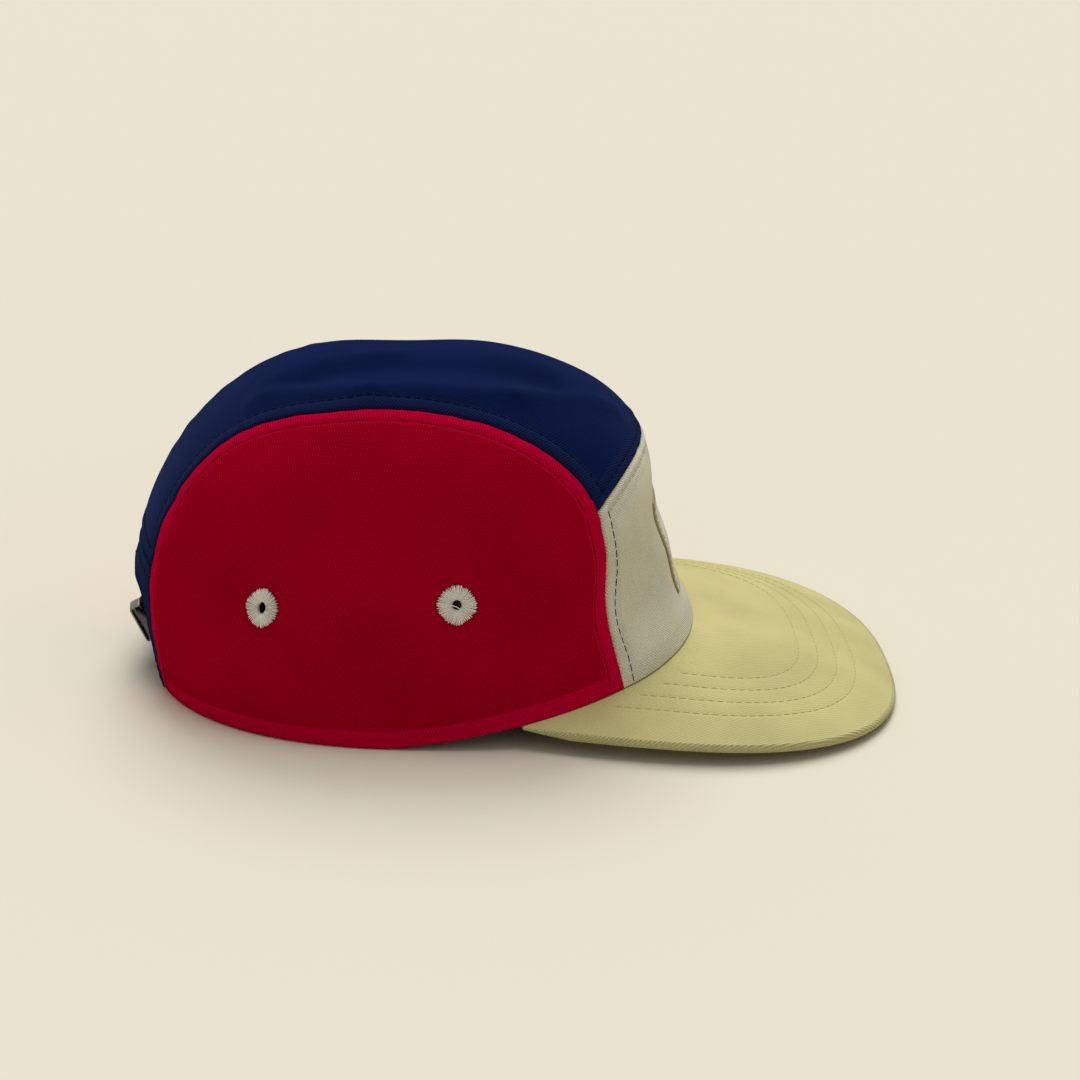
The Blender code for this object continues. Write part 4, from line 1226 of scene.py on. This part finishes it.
def peak_outline(count):
    """The peak's edge from the wearer's right corner to the tip: a power curve, then a superellipse."""
    corner = peak_corner(1)
    corner_forward = -corner[1]
    corner_half_width = corner[0] + PEAK_CORNER_WIDTH
    widest = PEAK_WIDEST_AT * CROWN_FRONT
    half_width = CROWN_HALF_WIDTH + PEAK_FLARE
    tip = CROWN_FRONT + PEAK_LENGTH
    back = np.linspace(0.0, 1.0, 40 * count)
    side_forward = corner_forward + back * (widest - corner_forward)
    side_across = half_width - (half_width - corner_half_width) * (1.0 - back) ** PEAK_BACK_POWER
    turn = np.linspace(0.0, math.pi / 2.0, 40 * count)[1:]
    front_forward = widest + (tip - widest) * np.sin(turn) ** (2.0 / PEAK_TIP_ROUNDNESS)
    front_across = half_width * np.cos(turn).clip(0.0) ** (2.0 / PEAK_SIDE_ROUNDNESS)
    forward = np.concatenate([side_forward, front_forward])
    across = np.concatenate([side_across, front_across])
    way = (forward - corner_forward) / (tip - corner_forward)
    drop = (corner[2] - PEAK_BELOW_HEM - PEAK_THICKNESS) * way**PEAK_DROOP_POWER
    return even(place(-across, forward, corner[2] - PEAK_BELOW_HEM - drop), count)


def level_line(grid, value, level):
    """Where the rows of a grid cross a level of a value that falls along them."""
    after = (value > level).sum(axis=1)
    rows = np.flatnonzero((value[:, 0] > level + PEAK_ROW_END) & (after < value.shape[1]))
    after = after[rows]
    high, low = value[rows, after - 1], value[rows, after]
    share = ((high - level) / (high - low))[:, None]
    return grid[rows, after - 1] + share * (grid[rows, after] - grid[rows, after - 1])


# The peak's root along the crown and its free edge, made on the right and mirrored to the left.
root = hem_between(peak_corner(-1), end_wall(0.0, HEM_RISE, 1), PEAK_SECTIONS)
edge = peak_outline(PEAK_SECTIONS)
mirror = np.array([-1.0, 1.0, 1.0])
root = push_out(np.concatenate([root, root[-2::-1] * mirror]))
edge = np.concatenate([edge, edge[-2::-1] * mirror])
root[:, 2] = hem_height(-root[:, 1]) - PEAK_ROOT_GAP

# How thick the peak is, which thins towards its corners, and how round its edge.
inward = unit(crown_normal(root) * [1.0, 1.0, 0.0])
reach = np.linalg.norm(edge - root, axis=-1, keepdims=True)
taper = (np.abs(edge[:, 1:2] - edge[0, 1]) / PEAK_CORNER_TAPER).clip(0.0, 1.0)
thick = PEAK_THICKNESS * (PEAK_CORNER_THINNESS + (1.0 - PEAK_CORNER_THINNESS) * taper)
outward = unit(edge - root)
rounding = np.minimum(PEAK_EDGE_ROUNDING * thick, 0.5 * reach)
inset = edge - outward * rounding

# Its upper face, cambered from root to edge, and its lower one, both drawn in along the quilting.
share = steps(PEAK_ROWS, 0.45)[None, :, None]
camber = 4.0 * share * (1.0 - share) * PEAK_CAMBER * (reach / reach.max())[:, None]
upper = root[:, None] + share * (inset - root)[:, None]
upper[..., 2] += camber[..., 0]
distance, _ = nearest(even(edge, 900), upper)
quilting = PEAK_SLACK * ripple(upper[..., :2], PEAK_SLACK_LENGTH, PEAK_SLACK_SEED)
for row in PEAK_STITCH_ROWS:
    quilting -= QUILTING_DEPTH * bell(distance, row, QUILTING_WIDTH) * (distance[:, :1] > row + PEAK_ROW_END)
quilting *= (distance / PEAK_CALM).clip(0.0, 1.0)
lower = upper - thick[:, None] * [0.0, 0.0, 1.0]
upper[..., 2] += quilting
lower[..., 2] -= 0.6 * quilting

# Its edge, half a superellipse in section, with the seam of both cloths drawn in.
phi = np.linspace(math.pi / 2.0, -math.pi / 2.0, PEAK_EDGE_ROWS + 2)[1:-1]
round_out = np.cos(phi) ** (2.0 / PEAK_EDGE_SQUARENESS)
round_up = np.sign(np.sin(phi)) * np.abs(np.sin(phi)) ** (2.0 / PEAK_EDGE_SQUARENESS)
level_out = unit(outward * [1.0, 1.0, 0.0])[:, None]
rim = inset[:, None] + (round_out[None, :, None] * rounding[:, None]) * level_out
rim[..., 2] += thick * (round_up[None, :] - 1.0) / 2.0
from_seam = np.arange(PEAK_EDGE_ROWS) - PEAK_SEAM_AT * PEAK_EDGE_ROWS
rim -= (PEAK_SEAM_DEPTH * bell(from_seam, 0.0, 0.9))[None, :, None] * level_out

# The whole peak in rings round its section. Its root is tucked below the crown's cloth, and a strip of
# quads closes each corner.
tucked = CLOTH * inward[:, None]
ring = np.concatenate([upper[:, :1] - tucked, upper, rim, lower[:, ::-1], lower[:, :1] - tucked], axis=1)
count, size = ring.shape[:2]
index = np.arange(count * size).reshape(count, size)
j = np.arange(size // 2 - 1)
cap = np.stack([j, j + 1, size - 2 - j, size - 1 - j], axis=-1)
faces = [band(index[:-1], index[1:]), cap, cap[:, ::-1] + (count - 1) * size]

# Its cloth laid flat is its plan, carried on outwards round the edge.
plan = np.stack([-ring[..., 1], ring[..., 0]], axis=-1)
way_out = np.stack([-level_out[..., 1], level_out[..., 0]], axis=-1)
first = PEAK_ROWS + 1
rim_columns = np.s_[first : first + PEAK_EDGE_ROWS]
arc = np.linalg.norm(np.diff(ring[:, first - 1 : first + PEAK_EDGE_ROWS], axis=1), axis=-1).cumsum(axis=1)
plan[:, rim_columns] = plan[:, first - 1, None] + arc[..., None] * way_out
edge_far = np.full((count, size), 0.01)
edge_far[:, rim_columns] = np.abs(from_seam) * 0.0004
yellow = twill(
    "yellow_cotton_twill", YELLOW_WALE, YELLOW_VALLEY, 28.0, YELLOW_WORN, 0.15, rib=0.0002, fleck=0.05
)
points, flat = ring.reshape(-1, 3), plan.reshape(-1, 2)
make_piece("peak_cloth", points, faces, yellow, flat, edge_far.ravel(), ["peak"])
yellow_thread = thread("yellow_thread", "DCD49C", "CCC38A", "B4AB78")
peak_rows = []
for row in PEAK_STITCH_ROWS:
    for grid, out in ((upper, 1.0), (lower, -1.0)):
        line = even(level_line(grid, distance, row), 600)
        outs = np.broadcast_to([0.0, 0.0, out], line.shape)
        peak_rows.append(stitches(line, outs, radius=PEAK_THREAD_RADIUS))
stitch_piece("peak_stitches", peak_rows, yellow_thread)


# Back strap
# Black webbing is sewn behind both legs of the arch and crosses its foot. Its loose end lies on top of the
# long one beyond the clasp. The ribs of the weave run across it.

STRAP_WIDTH = 0.011
STRAP_THICKNESS = 0.0013
STRAP_MIDDLE_HEIGHT = 0.014
STRAP_OVERLAP = 0.0045
STRAP_BULGE = 0.0011
STRAP_LEAN = 0.31
GAP = 0.0003

# The pitches of the webbing's ribs and of the threads that cross them, and these threads' slant.
WEBBING_RIB = 0.0011
WEBBING_THREAD = 0.00055
WEBBING_SLANT = 60.0

# The loose end on top: from and to across, and its outer and inner face as shares of the thickness.
STRAP_TAIL = (-0.0130, 0.0155, 0.56, 0.04)


def strap_middle(across, up):
    """Points and outward directions of the strap's middle face.

    The strap lies behind the legs of the arch and stands a little proud of the crown between them, where its
    upper edge leans out. It eases from one to the other by 3 w^2 - 2 w^3 of the way w to the middle.
    """
    behind = -(CLOTH + GAP + STRAP_THICKNESS / 2.0)
    free = arch_half_width - 2.0 * STRAP_THICKNESS
    way = np.clip(1.0 - np.abs(across) / free, 0.0, 1.0)
    proud = STRAP_BULGE + STRAP_LEAN * (up - STRAP_MIDDLE_HEIGHT)
    stand_off = behind + (proud - behind) * (3.0 * way**2 - 2.0 * way**3)
    face = end_wall(across, up, -1)
    out = crown_normal(face)
    return face + stand_off[..., None] * out, out


def webbing_look():
    """Black polyester webbing: ribs across it, each crossed by fine slanting threads, a little shiny."""
    made, tree, shader = start_material("black_webbing_weave", 0.6, 0.15, specular=0.4)
    flat = attribute(tree, "flat", "Vector")
    ribs = wave(tree, count_along(tree, flat, 0.0, WEBBING_RIB))
    threads = wave(tree, count_along(tree, flat, WEBBING_SLANT, WEBBING_THREAD))
    height = reckon(tree, "MULTIPLY_ADD", threads, 0.4, ribs)
    colour = blend(tree, spread(tree, height, -1.4, 1.4), linear("08080A"), linear("25252A"))
    finish_material(tree, shader, colour, height, 0.00014)
    return made


def strap_layer(start, end, outside, inside):
    """One layer of webbing between two places across, from one share of the strap's thickness to another.

    Its long edges and its ends close in steep power curves.
    """
    across = np.linspace(start, end, 200)[:, None]
    share = steps(34, 0.8)[None, :] - 0.5
    middle, out = strap_middle(across, STRAP_MIDDLE_HEIGHT + share * STRAP_WIDTH)
    closed = (1.0 - (np.abs(share) / 0.5) ** 8) ** 0.5
    ends = (1.0 - (np.abs(2.0 * (across - start) / (end - start) - 1.0)) ** 90).clip(0.04) ** 0.5
    centre = (outside + inside) / 2.0
    half = (outside - inside) / 2.0 * (closed * ends).clip(0.05)
    top = middle + (STRAP_THICKNESS * (centre + half))[..., None] * out
    below = middle + (STRAP_THICKNESS * (centre - half))[..., None] * out
    flat = np.stack(np.broadcast_arrays(across, share * STRAP_WIDTH), axis=-1).reshape(-1, 2)
    points = np.concatenate([top.reshape(-1, 3), below.reshape(-1, 3)])
    return points, shell_faces(*top.shape[:2]), np.concatenate([flat, flat])


strap_end = arch_half_width + STRAP_OVERLAP
points, faces, flat = join([strap_layer(-strap_end, strap_end, 0.02, -0.5), strap_layer(*STRAP_TAIL)])
make_piece(
    "back_strap_webbing", points, faces, webbing_look(), flat, replaced=["back_strap"]
)


# Clasp
# A flat slide of dull grey metal, bent from thin sheet, round the middle of the strap. Its edges are
# slightly rounded and its open ends show the black webbing inside.

CLASP_LENGTH = 0.0070
CLASP_WALL = 0.0008
CLASP_ROUNDING = 0.0011
CLASP_BEVEL = 0.00025


def rounded_rectangle(half_wide, half_high, rounding, corner_steps):
    """A rectangle with round corners, as rows of place wide and high."""
    turn = (np.arange(4)[:, None] + np.linspace(0.0, 1.0, corner_steps)[None, :]) * math.pi / 2.0
    sign_wide = np.array([1.0, -1.0, -1.0, 1.0])[:, None]
    sign_high = np.array([1.0, 1.0, -1.0, -1.0])[:, None]
    wide = sign_wide * (half_wide - rounding) + rounding * np.cos(turn)
    high = sign_high * (half_high - rounding) + rounding * np.sin(turn)
    return wide.ravel(), high.ravel()


def metal_look():
    """Dull nickel: brushed lengthwise, with darker tarnish in patches."""
    made, tree, shader = start_material("antique_nickel", 0.38, metallic=1.0, specular=0.5)
    flat = attribute(tree, "flat", "Vector")
    scales = {0: flat, 1: (300.0, 9000.0, 1.0)}
    stretched = add_node(tree, "ShaderNodeVectorMath", scales, operation="MULTIPLY")
    brushed = noise(tree, stretched.outputs[0], 1.0, 2.0)
    tarnish = spread(tree, noise(tree, flat, 500.0, 3.0), 0.35, 0.65)
    colour = blend(tree, tarnish, linear("77776A"), linear("A3A394"))
    finish_material(tree, shader, colour, brushed, 0.00002)
    return made


along = np.array([-0.5, 0.0, 0.5]) * CLASP_LENGTH
line, out = strap_middle(along, STRAP_MIDDLE_HEIGHT)
edges, _ = strap_middle(np.zeros(2), STRAP_MIDDLE_HEIGHT + np.array([-0.5, 0.5]) * STRAP_WIDTH)
sag = np.linalg.norm(line[1] - (line[0] + line[2]) / 2.0)
half_bore = STRAP_THICKNESS / 2.0 + sag / 2.0 + 2.0 * GAP
half_slot = STRAP_WIDTH / 2.0 + 2.0 * GAP

# The section from end to end outside and back inside: metres along and how far it is drawn in.
half_length = CLASP_LENGTH / 2.0
outside = [(half_length, CLASP_BEVEL), (half_length - 0.3 * CLASP_BEVEL, 0.3 * CLASP_BEVEL)]
outside.append((half_length - CLASP_BEVEL, 0.0))
inside = [(half_length, -0.5 * CLASP_BEVEL), (half_length - CLASP_BEVEL, 0.0)]
outer = [(-along, draw) for along, draw in outside] + [(0.0, 0.0)] + outside[::-1]
inner = inside + [(-along, draw) for along, draw in inside[::-1]]
rings = []
for section, wall in ((outer, CLASP_WALL), (inner, 0.0)):
    corner = CLASP_ROUNDING - CLASP_WALL + wall
    for along, draw in section:
        wide, high = rounded_rectangle(half_slot + wall - draw, half_bore + wall - draw, corner, 10)
        rings.append(np.stack([np.full(wide.shape, along), wide, high], axis=-1))
rings = np.stack(rings)
climb = unit(edges[1] - edges[0])
level = np.array([1.0, 0.0, 0.0])
turned = np.stack([level, climb, np.cross(level, climb)])
points = rings @ turned + line[1] - out[1] * (sag / 2.0)
index = np.arange(rings[..., 0].size).reshape(rings.shape[:2])
make_piece(
    "strap_clasp_slide",
    points.reshape(-1, 3),
    [band(index, np.roll(index, -1, axis=0))],
    metal_look(),
    rings[..., 1:].reshape(-1, 2),
    replaced=["strap_clasp"],
)


# Studio
# A plain pale table under two broad soft lights, the stronger from beyond the cap, with an even fill, and a
# long lens a little above the wearer's right side, as in the photograph.

TARGET = Vector(CROWN_PLACE) + Vector((0.0, 0.0, 0.050))
CAMERA_DISTANCE = 1.5
CAMERA_BEHIND = 4.0
CAMERA_ABOVE = 20.0
CAMERA_ROLL = 2.4
IMAGE_SIZE = 1080.0
FOCAL_PIXELS = 4380.0
TARGET_PIXEL = (415.0, 525.7)
TABLE_SIZE = 12.0
TABLE_DROP = 0.0002
LIGHT_ANGLE = 35.0
FILL = 0.37

table_look, tree, shader = start_material("pale_card", 0.9, specular=0.0)
shader.inputs["Base Color"].default_value = linear("E6E0CE")
bpy.ops.mesh.primitive_plane_add(size=TABLE_SIZE, location=(0.0, 0.0, -TABLE_DROP))
table = bpy.context.object
table.name = "table"
table.data.materials.append(table_look)
table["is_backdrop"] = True

behind = math.radians(CAMERA_BEHIND)
above = math.radians(CAMERA_ABOVE)
toward = Vector((-math.cos(above) * math.cos(behind), math.cos(above) * math.sin(behind), math.sin(above)))
level = Vector((0.0, 0.0, 1.0)).cross(toward).normalized()
upward = toward.cross(level)
roll = math.radians(CAMERA_ROLL)
rolled = level * math.cos(roll) + upward * math.sin(roll)
lens = bpy.data.cameras.new("camera")
lens.sensor_width = 36.0
lens.lens = lens.sensor_width * FOCAL_PIXELS / IMAGE_SIZE
lens.shift_x = (IMAGE_SIZE / 2.0 - TARGET_PIXEL[0]) / IMAGE_SIZE
lens.shift_y = (TARGET_PIXEL[1] - IMAGE_SIZE / 2.0) / IMAGE_SIZE
camera = bpy.data.objects.new("camera", lens)
bpy.context.scene.collection.objects.link(camera)
turned = Matrix((rolled, toward.cross(rolled), toward)).transposed().to_4x4()
camera.matrix_world = Matrix.Translation(TARGET + CAMERA_DISTANCE * toward) @ turned
bpy.context.scene.camera = camera

for name, strength, way in (
    ("light_from_beyond_the_cap", 1.62, (0.65, -0.04, 0.76)),
    ("light_from_above", 0.88, (0.12, 0.05, 0.99)),
):
    lamp = bpy.data.lights.new(name, "SUN")
    lamp.energy = strength
    lamp.angle = math.radians(LIGHT_ANGLE)
    lamp_object = bpy.data.objects.new(name, lamp)
    lamp_object.rotation_euler = Vector(way).to_track_quat("Z", "Y").to_euler()
    bpy.context.scene.collection.objects.link(lamp_object)
world = bpy.data.worlds.new("studio")
world.use_nodes = True
background = world.node_tree.nodes["Background"]
background.inputs["Color"].default_value = linear("FFFDF8")
background.inputs["Strength"].default_value = FILL
bpy.context.scene.world = world
bpy.context.scene.view_settings.view_transform = "Standard"

low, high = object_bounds()
